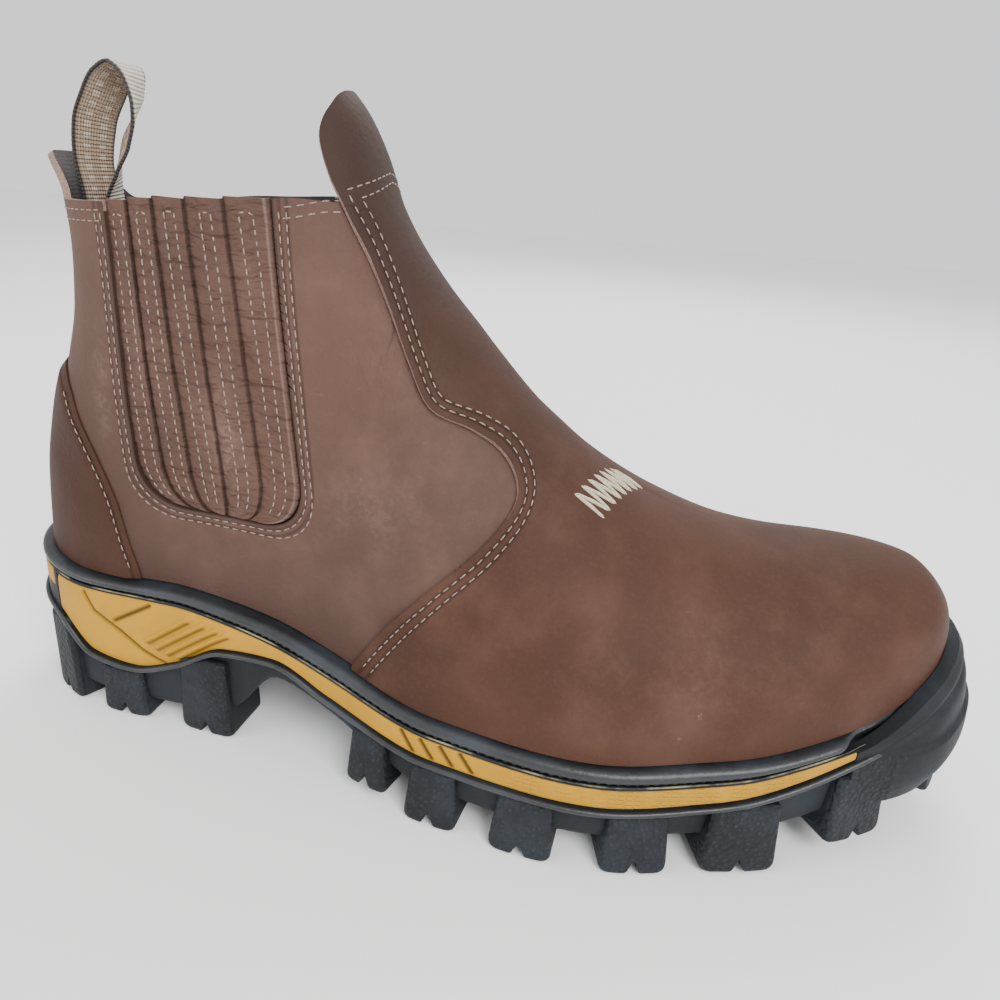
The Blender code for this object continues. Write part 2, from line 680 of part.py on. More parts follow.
def make_sole(boot):
    top = lambda s: level("band top", s)
    rim = lambda s: level("band low", s)
    rings = [
        sole_ring(UNDERCUT + EDGE_IN, lambda s: level("underside", s)),
        sole_ring(UNDERCUT, lambda s: level("underside", s) + EDGE_UP),
        sole_ring(UNDERCUT, lambda s: rim(s) - LUG_DROP),
        sole_ring(0.0, lambda s: rim(s) - RIM),
        sole_ring(0.0, rim),
        sole_ring(RIM / 2.0, lambda s: top(s) - RIM),
        sole_ring(RIM * 1.5, lambda s: top(s) - FIT),
    ]
    sole = boot.part("outsole", stack_mesh("outsole", rings), RUBBER, 0.6)

    added = boot.group("lugs")
    for share, width, stand in LUGS:
        for side, word in ((-1.0, "outer"), (1.0, "inner")):
            name = "lug_%03d_%s" % (round(share * 1000), word)
            boot.cutter(name, lug_mesh(name, share, width, stand, side), added)
    for share, stand, name in ((0.0, BACK_LUG_OUT, "lug_back"), (1.0, FRONT_LUG_OUT, "lug_front")):
        boot.cutter(name, lug_mesh(name, share, END_LUG_WIDTH, stand, 1.0), added)
    for share, half in BARS:
        name = "bar_%03d" % round(share * 1000)
        boot.cutter(name, bar_mesh(name, share, half), added)
    boot.cutter("toe_bumper", bumper_mesh("toe_bumper"), added)
    combine(sole, "UNION", group=added)

    recess = boot.group("band_recesses")
    low = lambda s: rim(s) + FIT
    high = lambda s: np.maximum(top(s) - RIM - FIT, low(s) + RIM)
    cut_low = lambda s: low(s) - FIT
    cut_high = lambda s: high(s) + FIT
    pad = 2.0 * FIT / SOLE_LENGTH
    wide = (BAND_SPAN[0] - pad, BAND_SPAN[1] + pad)
    for name, side in (("band_outer", -1.0), ("band_inner", 1.0)):
        boot.part(name, side_patch(name, low, high, BAND_SPAN, side, RIM / 2.0, BAND_DEPTH), OCHRE, 0.5)
        boot.cutter(name + "_recess", side_patch(name + "_recess", cut_low, cut_high, wide, side,
                                                 -BAND_DEPTH, BAND_DEPTH + FIT), recess)
    back_low = lambda s: np.full_like(s, BAND_BACK_LEVELS[0] * HEEL_HEIGHT)
    back_high = lambda s: np.full_like(s, BAND_BACK_LEVELS[1] * HEEL_HEIGHT - RIM)
    back_cut_low = lambda s: back_low(s) - FIT
    back_cut_high = lambda s: back_high(s) + FIT
    boot.part("band_back", wrap_patch("band_back", back_low, back_high, BAND_BACK_REACH, False,
                                      RIM / 2.0, BAND_DEPTH / 2.0), OCHRE, 0.5)
    boot.cutter("band_back_recess", wrap_patch("band_back_recess", back_cut_low, back_cut_high,
                                               BAND_BACK_REACH + pad, False, -BAND_DEPTH,
                                               BAND_DEPTH / 2.0 + FIT), recess)
    combine(sole, "DIFFERENCE", group=recess)


def make_welt(boot):
    step = lambda s: (BUMPER_DEPTH + FIT) * smooth((s - BUMPER_FROM) / BUMPER_EASE + 2.0 / 3.0)
    top = lambda s: level("welt top", s)
    low = lambda s: level("band top", s) + FIT
    rings = [sole_ring(WELT_SEAT, low)]
    for height, inset, part in WELT_SECTION:
        rings.append(sole_ring(lambda s: inset + step(s) * part,
                               lambda s: low(s) + (top(s) - low(s)) * height))
    rings.append(sole_ring(WELT_SEAT, top))
    return boot.part("welt", ring_mesh("welt", rings), RUBBER, 0.35)


def make_insole(boot):
    edge = foot_inset() + WALL + INSOLE_PLAY
    well = WELT_SEAT + FIT
    low = lambda s: level("band top", s) + LONG_FIT
    seat = lambda s: level("welt top", s) + LONG_FIT
    rings = [
        sole_ring(well, low),
        sole_ring(well, seat),
        sole_ring(edge, seat),
        sole_ring(edge, lambda s: seat(s) + INSOLE_THICKNESS),
    ]
    return boot.part("insole", stack_mesh("insole", rings), TAN, 0.8)


def upper_grid(offset, above=0):
    """Grid of the upper: rows from the welt to the collar, columns right round.

    The offset is taken along the normals of the grid itself. Rows above the collar may
    follow, for a leather that stands up higher than it.
    """
    turn = np.linspace(0.0, 2.0 * math.pi, 2 * RING_POINTS, endpoint=False)
    edge = collar_ring(turn)
    rows = [edge * k / (RING_ROWS - 1.0) for k in range(RING_ROWS)]
    rows += [edge + RING_STEP * k for k in range(1, above + 2)]
    ring = np.stack(rows)
    point = upper_point(ring, np.broadcast_to(turn, ring.shape))
    across = np.roll(point, -1, axis=1) - np.roll(point, 1, axis=1)
    normal = np.cross(across, np.gradient(point, axis=0))
    normal /= np.maximum(np.linalg.norm(normal, axis=-1, keepdims=True), 1e-12)
    point = (point + offset * normal)[:-1]
    point[0, :, 2] = floor_height(point[0, :, 0])
    return point


def collar_z(x):
    """Height of the collar's edge above any x, tabs left out."""
    start_x, start_z, end_x, end_z = ring_ends(1.0)
    along = np.clip((x - start_x) / (end_x - start_x), 0.0, 1.0)
    above_back = start_z - floor_height(start_x)
    above_front = end_z - floor_height(end_x)
    dip = SIDE_DIP * COLLAR_HEIGHT * 4.0 * along * (1.0 - along)
    return floor_height(x) + above_back + (above_front - above_back) * along - dip


def panel_edges(z, shrink):
    """Back and front edge of a side panel's opening at a height, moved in by shrink."""
    foot = PANEL_FOOT * COLLAR_HEIGHT + shrink
    lift = (z - foot) / (COLLAR_HEIGHT - foot)
    back = (PANEL_LOW[0] + (PANEL_TOP[0] - PANEL_LOW[0]) * lift) * SOLE_LENGTH + shrink
    front = (PANEL_LOW[1] + (PANEL_TOP[1] - PANEL_LOW[1]) * lift) * SOLE_LENGTH - shrink
    corner = end_round(z - foot, PANEL_CORNER * COLLAR_HEIGHT)
    keep = PANEL_FLAT + (1.0 - PANEL_FLAT) * corner
    middle, half = (back + front) / 2.0, (front - back) / 2.0 * keep
    return middle - half, middle + half


def panel_rows(shrink, top):
    """Heights of a side panel's rows, close together round its foot."""
    foot = PANEL_FOOT * COLLAR_HEIGHT + shrink
    corner = PANEL_CORNER * COLLAR_HEIGHT
    low = foot + corner * np.array(PANEL_FOOT_STEPS)
    return np.concatenate([low, np.linspace(foot + corner, top, PANEL_ROWS)])


def panel_prism(name, side):
    z = panel_rows(0.0, PANEL_CUT_TOP * COLLAR_HEIGHT)
    back, front = panel_edges(z, 0.0)
    polygon = list(zip(back, z)) + list(zip(front[::-1], z[::-1]))
    return side_prism(name, polygon, 0.0, side * BALL_WIDTH)


def panel_mesh(name, side):
    """Pleated side panel in its opening: each pleat rises evenly and ends in a small step."""
    z = panel_rows(FIT, COLLAR_HEIGHT)
    starts = np.arange(PLEATS) / PLEATS
    ends = starts + (1.0 - PLEAT_GAP) / PLEATS
    across = np.stack([starts, ends], 1).ravel()
    across[-1] = 1.0
    lift = np.tile([0.0, PLEAT_STEP], PLEATS)
    back, front = panel_edges(z[-1], FIT)
    rise = collar_z(back + (front - back) * across) - z[-1]
    corner = z[0] + PANEL_CORNER * COLLAR_HEIGHT
    height = np.clip((z - corner) / (z[-1] - corner), 0.0, 1.0)
    z_grid = z[:, None] + rise * height[:, None]
    back, front = panel_edges(z_grid, FIT)
    x = back + (front - back) * across
    grids = []
    for depth in (lift - PLEAT_STEP, np.full_like(lift, -WALL)):
        centre, half = side_shape(x, z_grid)
        grids.append(np.stack([x, centre + side * (half + depth), z_grid], -1))
    return slab_mesh(name, grids[0], grids[1])


def make_upper(boot):
    upper = boot.part("upper", tube_mesh("upper", upper_grid(0.0), upper_grid(-WALL)), BROWN, 0.75)
    openings = boot.group("panel_openings")
    for name, side in (("gusset_outer", -1.0), ("gusset_inner", 1.0)):
        boot.cutter(name + "_opening", panel_prism(name + "_opening", side), openings)
        boot.part(name, panel_mesh(name, side), BROWN, 0.75)
    combine(upper, "DIFFERENCE", group=openings)


def layer_mesh(name, above=0):
    """Leather layer over the upper, wall between two copies of the upper's own grid."""
    return tube_mesh(name, upper_grid(FIT + OVERLAY, above), upper_grid(FIT, above))


def overlay(boot, name, edge, front, above=0):
    """Leather layer cut to its side-view outline: the edge, then down along x = front."""
    line = flowing(edge)
    polygon = list(line) + [(front, line[-1][1]), (front, 0.0), (line[0][0], 0.0)]
    made = boot.part(name, layer_mesh(name, above), BROWN, 0.75)
    region = side_prism(name + "_region", polygon, -BALL_WIDTH, BALL_WIDTH)
    combine(made, "INTERSECT", boot.cutter(name + "_region", region))


def make_overlays(boot):
    overlay(boot, "vamp", VAMP_EDGE, 1.1 * SOLE_LENGTH, above=2)
    overlay(boot, "counter", COUNTER_EDGE, -0.1 * SOLE_LENGTH)


def make_loop(boot):
    """Flat webbing swept along its middle line; its width turns about the upright."""
    knots = np.linspace(0.0, 1.0, len(LOOP_PATH))
    table = np.column_stack([knots, LOOP_PATH])
    at = np.linspace(0.0, 1.0, LOOP_STEPS)
    x = float(back_x(COLLAR_HEIGHT)) + curve(table, 1, at)
    z = COLLAR_HEIGHT + curve(table, 2, at)
    turn = np.radians(curve(table, 3, at))
    along = np.stack([np.gradient(x), np.zeros(LOOP_STEPS), np.gradient(z)], 1)
    along /= np.linalg.norm(along, axis=1, keepdims=True)
    width = np.stack([np.sin(turn), np.cos(turn), np.zeros(LOOP_STEPS)], 1)
    width -= along * (width * along).sum(1, keepdims=True)
    width /= np.linalg.norm(width, axis=1, keepdims=True)
    out = np.cross(along, width)
    middle = np.stack([x, np.zeros(LOOP_STEPS), z], 1)
    edges = np.stack([middle - width * LOOP_WIDTH / 2.0, middle + width * LOOP_WIDTH / 2.0])
    face = edges + out * LOOP_THICKNESS / 2.0
    back = edges - out * LOOP_THICKNESS / 2.0
    boot.part("pull_loop", slab_mesh("pull_loop", face, back), TAN, 0.9)


def main():
    for old in list(bpy.data.objects):
        bpy.data.objects.remove(old, do_unlink=True)
    boot = Boot()
    make_sole(boot)
    make_welt(boot)
    make_insole(boot)
    make_upper(boot)
    make_overlays(boot)
    make_loop(boot)
    boot.centre()
    return boot


if __name__ == "__main__":
    main()
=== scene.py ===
"""Dresses the pull-on work boot: leather, pleated side panels, stitches, welt, sole and webbing.

Every surface is worked out in the boot's own sizes, +X to the toe, +Y to the inner side of
the foot and +Z up, and is then moved by PLACE to where the solid model stands.
"""

import json
import math

import bmesh
import bpy
import numpy as np
from mathutils import Matrix, Vector

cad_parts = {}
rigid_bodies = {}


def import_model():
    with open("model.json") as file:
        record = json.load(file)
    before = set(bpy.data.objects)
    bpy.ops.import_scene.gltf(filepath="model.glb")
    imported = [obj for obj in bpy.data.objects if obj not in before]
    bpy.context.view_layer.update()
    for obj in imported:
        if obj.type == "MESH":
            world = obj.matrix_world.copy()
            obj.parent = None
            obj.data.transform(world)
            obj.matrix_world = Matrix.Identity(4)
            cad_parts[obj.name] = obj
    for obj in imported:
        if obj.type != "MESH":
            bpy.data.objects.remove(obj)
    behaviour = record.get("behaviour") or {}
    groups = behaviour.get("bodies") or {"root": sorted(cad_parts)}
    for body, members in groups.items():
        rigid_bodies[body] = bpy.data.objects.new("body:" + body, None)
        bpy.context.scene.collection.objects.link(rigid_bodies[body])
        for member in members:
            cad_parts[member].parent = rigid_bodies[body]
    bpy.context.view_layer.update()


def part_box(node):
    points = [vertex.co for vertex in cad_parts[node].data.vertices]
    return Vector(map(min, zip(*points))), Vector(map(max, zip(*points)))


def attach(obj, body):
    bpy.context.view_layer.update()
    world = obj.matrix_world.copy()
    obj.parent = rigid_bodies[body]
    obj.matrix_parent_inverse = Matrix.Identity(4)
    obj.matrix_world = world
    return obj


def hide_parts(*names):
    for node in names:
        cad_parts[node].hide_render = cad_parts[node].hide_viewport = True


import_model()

bl_info = {
    "name": "Work Boot Dressing",
    "version": (1, 0, 0),
    "blender": (4, 5, 0),
    "location": "3D View > Sidebar > Boot",
    "description": "Builds the visible surfaces and finishes of a pull-on work boot",
    "category": "Add Mesh",
}

# Driving sizes in metres
SOLE_LENGTH = 0.305
BALL_WIDTH = 0.112
HEEL_HEIGHT = 0.052
COLLAR_HEIGHT = 0.170
INSTEP_HEIGHT = 0.120
SHAFT_LENGTH = 0.127
SHAFT_WIDTH = 0.067
FIT = 0.0003
WALL = 0.0020
OVERLAY = 0.0016
WELT_LIP = 0.0030
BAND_DEPTH = 0.0040
RIM = 0.0008
INSOLE_THICKNESS = 0.0040
INSOLE_PLAY = 0.0035
WELT_SEAT = 0.0130
LONG_FIT = 0.0009
FLOOR_FIT = 0.0006
BUMPER_DEPTH = 0.0030
LUG_REACH = 0.0180
UNDERCUT = 0.0022

# Where the boot's own x = 0 and y = 0 lie in the frame: the sole's back and the loop's middle
PLACE = np.array([
    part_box("outsole")[0][0],
    (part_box("pull_loop")[0][1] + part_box("pull_loop")[1][1]) / 2.0,
    0.0,
])

# Plan of the sole: share of length, centre line and half width as shares of ball width
PLAN = np.array([
    (0.00, 0.00, 0.30),
    (0.10, 0.00, 0.30),
    (0.20, 0.01, 0.325),
    (0.35, -0.03, 0.345),
    (0.50, -0.09, 0.405),
    (0.66, -0.04, 0.50),
    (0.78, -0.01, 0.462),
    (0.88, 0.035, 0.455),
    (1.00, 0.055, 0.43),
])
PLAN_CENTRE, PLAN_WIDTH = 1, 2
HEEL_ROUND = 0.14
TOE_ROUND = 0.25
END_POWER = 2.2

# Levels along the side: share of length, then welt top, band top, band bottom,
# underside and tread, as shares of heel height
LEVELS = np.array([
    (0.00, 1.08, 0.98, 0.74, 0.20, 0.06),
    (0.05, 1.02, 0.94, 0.66, 0.13, 0.00),
    (0.10, 0.99, 0.92, 0.44, 0.11, 0.00),
    (0.15, 0.99, 0.92, 0.40, 0.11, 0.00),
    (0.20, 1.00, 0.92, 0.49, 0.11, 0.00),
    (0.26, 0.97, 0.88, 0.67, 0.18, 0.00),
    (0.32, 0.92, 0.82, 0.70, 0.52, 0.12),
    (0.38, 0.82, 0.72, 0.57, 0.41, 0.12),
    (0.50, 0.67, 0.58, 0.42, 0.16, 0.00),
    (0.65, 0.64, 0.55, 0.40, 0.15, 0.00),
    (0.76, 0.68, 0.59, 0.45, 0.18, 0.00),
    (0.84, 0.76, 0.69, 0.58, 0.24, 0.06),
    (0.90, 0.86, 0.78, 0.71, 0.34, 0.15),
    (0.96, 1.02, 0.87, 0.82, 0.44, 0.28),
    (1.00, 1.17, 0.93, 0.90, 0.50, 0.35),
])
WELT_TOP, BAND_TOP, BAND_LOW, UNDERSIDE, TREAD = 1, 2, 3, 4, 5

# Ridge of the upper: ring, share of length, share of instep height above the floor
RIDGE = np.array([
    (0.00, 1.000, 0.515),
    (0.08, 0.988, 0.595),
    (0.16, 0.962, 0.646),
    (0.24, 0.910, 0.664),
    (0.32, 0.840, 0.670),
    (0.40, 0.770, 0.694),
    (0.50, 0.690, 0.758),
    (0.60, 0.617, 0.852),
    (0.70, 0.551, 0.978),
    (0.80, 0.494, 1.118),
    (0.90, 0.438, 1.265),
    (1.00, 0.393, 1.430),
    (1.10, 0.375, 1.545),
    (1.20, 0.358, 1.620),
    (1.30, 0.336, 1.680),
    (1.45, 0.305, 1.765),
])
# Roof over the shaft, above every ring: share of sole length, share of instep height
SHAFT_ROOF = np.array([(0.00, 4.0), (0.20, 3.6), (0.28, 2.6)])
# Back of the upper: ring, share of sole length, share of collar height
BACK = np.array([
    (0.00, 0.000, 0.320),
    (0.15, 0.004, 0.415),
    (0.30, 0.012, 0.515),
    (0.45, 0.026, 0.615),
    (0.60, 0.044, 0.710),
    (0.75, 0.057, 0.805),
    (0.90, 0.061, 0.910),
    (1.00, 0.058, 0.980),
    (1.15, 0.033, 1.055),
    (1.30, 0.006, 1.130),
])
ALONG, UP = 1, 2
SIDE_DIP = 0.024
SHAFT_CENTRE = -0.002
SHAFT_FROM, SHAFT_TO = 0.060, 0.140
SHAFT_BACK_ROUND = 0.046
ROOF_POWER = np.array([(0.00, 3.2), (0.42, 3.0), (0.60, 2.2), (0.80, 2.3), (1.00, 2.6)])
ROOF_ROOT = 2.2
BACK_TAB_RISE = 0.13
BACK_TAB_HALF = 0.011
BACK_TAB_SQUARE = 1.6
FRONT_RISE = 0.22
FRONT_HALF = 0.020

# Side-view outlines: x as share of sole length, z as share of collar height
VAMP_EDGE = np.array([
    (0.385, 0.150),
    (0.403, 0.230),
    (0.445, 0.350),
    (0.483, 0.434),
    (0.523, 0.506),
    (0.546, 0.563),
    (0.545, 0.603),
    (0.527, 0.644),
    (0.499, 0.674),
    (0.462, 0.702),
    (0.440, 0.761),
    (0.411, 0.865),
    (0.374, 0.990),
    (0.357, 1.045),
    (0.345, 1.100),
    (0.347, 1.140),
    (0.356, 1.175),
    (0.395, 1.198),
])
COUNTER_EDGE = np.array([
    (0.166, 0.200),
    (0.161, 0.307),
    (0.151, 0.374),
    (0.139, 0.467),
    (0.123, 0.547),
    (0.105, 0.610),
    (0.090, 0.660),
    (0.060, 0.695),
    (-0.050, 0.700),
])
PANEL_LOW = (0.172, 0.353)
PANEL_TOP = (0.161, 0.313)
PANEL_FOOT = 0.470
PANEL_CORNER = 0.090
PANEL_FLAT = 0.45
PLEAT_STEP = 0.0010

# Side lugs: centre as share of length, width and stand-out in metres, on both sides
LUGS = (
    (0.050, 0.016, -0.0006), (0.135, 0.018, -0.0006), (0.235, 0.020, -0.0006),
    (0.430, 0.015, 0.0010), (0.500, 0.017, 0.0014), (0.590, 0.019, 0.0016),
    (0.695, 0.020, 0.0016), (0.792, 0.023, 0.0016), (0.900, 0.021, 0.0020),
    (0.982, 0.022, 0.0045),
)
BACK_LUG_OUT = -0.0006
FRONT_LUG_OUT = 0.0050
END_LUG_WIDTH = 0.014
LUG_TAPER = 0.0016
LUG_DROP = 0.0022
LUG_TOE_DROP = 0.0050
LUG_TOE_SPAN = (0.78, 0.90)
NOTCH_HALF = 0.0022
NOTCH_HEIGHT = 0.0050
LUG_ROUND = 0.0018
BARS = ((0.120, 0.008), (0.215, 0.011), (0.500, 0.016), (0.590, 0.022),
        (0.685, 0.026), (0.780, 0.022), (0.870, 0.018))
BAR_LENGTH = 0.010
BAR_BEND = 0.007
BAR_ROOT = 0.0040
BAND_SPAN = (0.055, 0.900)
BAND_PLAY = 0.012
BAND_GRID = (820, 44)
LEAFY_SPAN = (0.56, 0.86)
BAND_BACK_REACH = 0.022
# The light patch painted round the back: reach along each side, lower and upper edge
PATCH_REACH = 0.0150
PATCH_LOW = 0.0425
PATCH_TOP = 0.0500
BAND_BACK_LEVELS = (0.82, 0.97)
BUMPER_FROM = 0.885
BUMPER_CURVE = 0.070
BUMPER_EASE = 0.030
# Stand-out of the bumper up its height, in metres
BUMPER = np.array([(0.00, 0.0035), (0.35, 0.0062), (0.72, 0.0046), (1.00, 0.0004)])
# Low step of the bumper: where it starts, a place on its rising edge, its rise and how proud it is
BUMPER_STEP_FROM = 0.912
BUMPER_STEP_AT = (0.915, 0.037)
BUMPER_STEP_RISE = 0.106
BUMPER_STEP_PROUD = 0.0011
# The welt's outer face from the sole up: share of height, inset in metres, share of the bumper's step
WELT_SECTION = np.array([
    (0.00, 0.0022, 1.0),
    (0.10, 0.0019, 1.0),
    (0.22, 0.0006, 1.0),
    (0.38, 0.0001, 1.0),
    (0.55, 0.0001, 1.0),
    (0.72, 0.0003, 0.9),
    (0.88, 0.0010, 0.8),
    (0.96, 0.0018, 0.6),
    (1.00, 0.0026, 0.5),
])
# Stitch rows, as distances from the cut edge; the vamp's two rows end at their own heights
QUARTER_ROWS = (0.0016, 0.0036)
VAMP_ROWS = (0.0027, 0.0053)
VAMP_ROW_TOPS = (0.1732, 0.1718)
ROW_SPREAD = (1.05, 0.68)
ROW_SPREAD_HEIGHTS = (0.045, 0.120)
COUNTER_ROWS = (0.0022,)
COUNTER_ROW_BACK = 0.026
COLLAR_ROWS = (0.0024, 0.0052)
COLLAR_ROW_SPAN = (0.024, 0.1135)
ROW_END = 0.003
# Rows across the front tab's root: ring, reach to each side in radians, rise of the middle
TAB_ROWS = ((1.016, 0.540, 0.030), (1.004, 0.440, 0.026))
# Stitched loops on the pleats: shares across the panel, half width as a share, gap to the collar
PLEAT_ROWS = (0.080, 0.250, 0.430, 0.650, 0.880)
PLEAT_ROW_HALF = 0.034
PLEAT_ROW_FOOT = 0.020
PLEAT_ROW_GAP = 0.0036
PLEAT_STITCH = (0.0026, 0.0005)
# Embroidered zig-zag on the vamp, in plan: first and last bar, half length, count, stitch and tone
MOTIF_FROM, MOTIF_TO = (0.1868, -0.0262), (0.1985, -0.0015)
MOTIF_HALF = 0.0056
MOTIF_BARS = 15
MOTIF_STITCH = (0.0112, 0.0110, 0.0013)
MOTIF_TONE = (0.62, 0.56, 0.39)
# The vamp's edge groove ends at the tab, where every point counts as far from the edge
TAB_FROM = 1.0
OFF_EDGE = 0.05
SNAP_REACH = 0.0030
LOOP_WIDTH = 0.015
LOOP_THICKNESS = 0.0012
RIB_PITCH = 0.0011
# Middle line of the loop: out from the shaft's back, up from the collar, twist in degrees
LOOP_PATH = np.array([
    (0.0066, -0.014, 4),
    (0.0067, -0.004, 6),
    (0.0056, 0.007, 12),
    (0.0070, 0.017, 18),
    (0.0108, 0.025, 20),
    (0.0142, 0.0305, 14),
    (0.0178, 0.0330, 6),
    (0.0204, 0.0300, -6),
    (0.0210, 0.0245, -18),
    (0.0196, 0.0185, -32),
    (0.0166, 0.0120, -40),
    (0.0134, 0.0045, -30),
    (0.0114, -0.0040, -14),
    (0.0108, -0.0140, -4),
])

# Camera of the photograph: angles in degrees, distance in metres, the rest in pixels of a square picture
CAMERA_TURN, CAMERA_LIFT, CAMERA_ROLL = 7.99, 21.19, 4.39
CAMERA_DISTANCE = 0.24516
CAMERA_FOCAL = 757.77
CAMERA_CENTRE = (472.73, 477.00)
CAMERA_TARGET = (0.150, 0.0, 0.090)
PICTURE = 1000.0
SENSOR = 36.0


# Formulas of the boot's form

def smooth(t):
    """Cubic step from 0 to 1."""
    t = np.clip(t, 0.0, 1.0)
    return t * t * (3.0 - 2.0 * t)


def curve(table, column, share):
    """Smooth curve through one column of a table: cubic pieces with slopes that never overshoot."""
    x = table[:, 0]
    y = table[:, column]
    share = np.asarray(share, float)
    step = np.diff(x)
    rise = np.diff(y) / step
    slope = np.zeros_like(y)
    turn = rise[:-1] * rise[1:] > 0
    before, after = step[:-1], step[1:]
    weight_a, weight_b = 2 * after + before, after + 2 * before
    with np.errstate(divide="ignore", invalid="ignore"):
        mean = (weight_a + weight_b) / (weight_a / rise[:-1] + weight_b / rise[1:])
    slope[1:-1] = np.where(turn, mean, 0.0)
    slope[0], slope[-1] = rise[0], rise[-1]
    i = np.clip(np.searchsorted(x, share, side="right") - 1, 0, len(x) - 2)
    t = np.clip((share - x[i]) / step[i], 0.0, 1.0)
    return ((1 + 2 * t) * (1 - t) ** 2 * y[i] + t * (1 - t) ** 2 * step[i] * slope[i]
            + t * t * (3 - 2 * t) * y[i + 1] + t * t * (t - 1) * step[i] * slope[i + 1])


def end_round(distance, reach, power=END_POWER):
    """Superellipse end: 0 at the very end, 1 once the distance passes the reach."""
    t = np.clip(1.0 - np.asarray(distance, float) / reach, 0.0, 1.0)
    return (1.0 - t ** power) ** (1.0 / power)


def centre_line(share):
    """Middle of the sole's plan at a share of its length."""
    return curve(PLAN, PLAN_CENTRE, share) * BALL_WIDTH


def half_width(share, inset=0.0):
    """Half width of the sole outline, moved in by the inset and rounded at both ends."""
    ends = end_round(share, HEEL_ROUND) * end_round(1.0 - share, TOE_ROUND)
    return (curve(PLAN, PLAN_WIDTH, share) * BALL_WIDTH - inset) * ends


def level(column, share):
    """Height of one of the sole's side levels at a share of its length."""
    return curve(LEVELS, column, share) * HEEL_HEIGHT


def outline(share, side, inset=0.0):
    """Point of the plan outline: share of length, side -1 outer or +1 inner, inset in metres."""
    x = inset + share * (SOLE_LENGTH - 2.0 * inset)
    y = centre_line(share) + side * half_width(share, inset)
    return x, y


def foot_inset():
    """How far the upper's outer face stays inside the sole's outline."""
    return WELT_LIP + FIT + OVERLAY


def roof_height(x):
    """Height of the ridge above any x of the upper, carried on upwards over the shaft."""
    inset = foot_inset()
    ridge_x = inset + RIDGE[::-1, ALONG] * (SOLE_LENGTH - 2.0 * inset)
    ridge_z = RIDGE[::-1, UP] * INSTEP_HEIGHT
    over = SHAFT_ROOF * np.array([SOLE_LENGTH, INSTEP_HEIGHT])
    return curve(np.concatenate([over, np.stack([ridge_x, ridge_z], 1)]), 1, x)


def back_x(z):
    """Back of the upper at a height."""
    inset = foot_inset()
    table = np.stack([BACK[:, UP] * COLLAR_HEIGHT, inset + BACK[:, ALONG] * SOLE_LENGTH], 1)
    return curve(table, 1, z)


def floor_height(x):
    """Lower edge of the upper, on top of the welt."""
    return level(WELT_TOP, np.clip(x / SOLE_LENGTH, 0.0, 1.0)) + FLOOR_FIT


def side_shape(x, z):
    """Centre line and half width of the upper where x is the length and z the height.

    Foot width turns into shaft width with height; the back is a superellipse end that
    starts at the back line, and the roof closes as the height nears the ridge.
    """
    inset = foot_inset()
    share = np.clip((x - inset) / (SOLE_LENGTH - 2.0 * inset), 0.0, 1.0)
    lift = smooth((z - SHAFT_FROM) / (SHAFT_TO - SHAFT_FROM))
    foot = (curve(PLAN, PLAN_WIDTH, share) * BALL_WIDTH - inset) * end_round(1.0 - share, TOE_ROUND)
    width = foot * (1.0 - lift) + SHAFT_WIDTH / 2.0 * lift
    reach = HEEL_ROUND * SOLE_LENGTH * (1.0 - lift) + SHAFT_BACK_ROUND * lift
    back = end_round(x - back_x(z), reach)
    low = floor_height(x)
    rise = np.clip((z - low) / np.maximum(roof_height(x) - low, 1e-6), 0.0, 1.0)
    power = curve(ROOF_POWER, 1, share)
    roof = (1.0 - rise ** power) ** (1.0 / ROOF_ROOT)
    shaft_line = SHAFT_CENTRE * smooth((x - SHAFT_BACK_ROUND) / (SHAFT_LENGTH - SHAFT_BACK_ROUND))
    centre = centre_line(share) * (1.0 - lift) + shaft_line * lift
    return centre, width * back * roof


def ring_ends(ring):
    """Back point and front point of a ring, both as x and z."""
    inset = foot_inset()
    back_z = curve(BACK, UP, ring) * COLLAR_HEIGHT
    back_z = np.maximum(back_z, floor_height(back_x(back_z)))
    front_x = inset + curve(RIDGE, ALONG, ring) * (SOLE_LENGTH - 2.0 * inset)
    return back_x(back_z), back_z, front_x, roof_height(front_x)


def upper_point(ring, turn):
    """Point of the upper's outer face: rings from 0 at the welt to 1 at the collar.

    The turn runs from 0 at the back through the outer side to pi at the front and on to
    2 pi. Along a ring the height above the welt goes evenly from its back to its ridge.
    """
    start_x, start_z, end_x, end_z = ring_ends(ring)
    along = (1.0 - np.cos(turn)) / 2.0
    x = start_x + (end_x - start_x) * along
    above_back = start_z - floor_height(start_x)
    above_front = end_z - floor_height(end_x)
    z = floor_height(x) + above_back + (above_front - above_back) * along
    z = z - SIDE_DIP * COLLAR_HEIGHT * ring ** 2 * np.sin(turn) ** 2
    x = np.maximum(x, back_x(z))
    centre, half = side_shape(x, z)
    side = np.where(np.sin(turn) >= 0.0, -1.0, 1.0)
    ends = np.abs(np.sin(turn)) > 1e-6
    return np.stack([x, centre + side * half * ends, z], -1)


def collar_ring(turn):
    """Ring of the collar edge: 1, with a tab at the back and a rise behind the front tab."""
    x, y, z = np.moveaxis(upper_point(np.ones_like(turn), turn), -1, 0)
    centre = side_shape(x, z)[0]
    sideways = np.abs(y - centre)
    back_tab = BACK_TAB_RISE * smooth(BACK_TAB_SQUARE - sideways / BACK_TAB_HALF)
    front_tab = FRONT_RISE * smooth(1.0 - sideways / FRONT_HALF)
    return 1.0 + np.where(np.cos(turn) > 0.0, back_tab, front_tab)


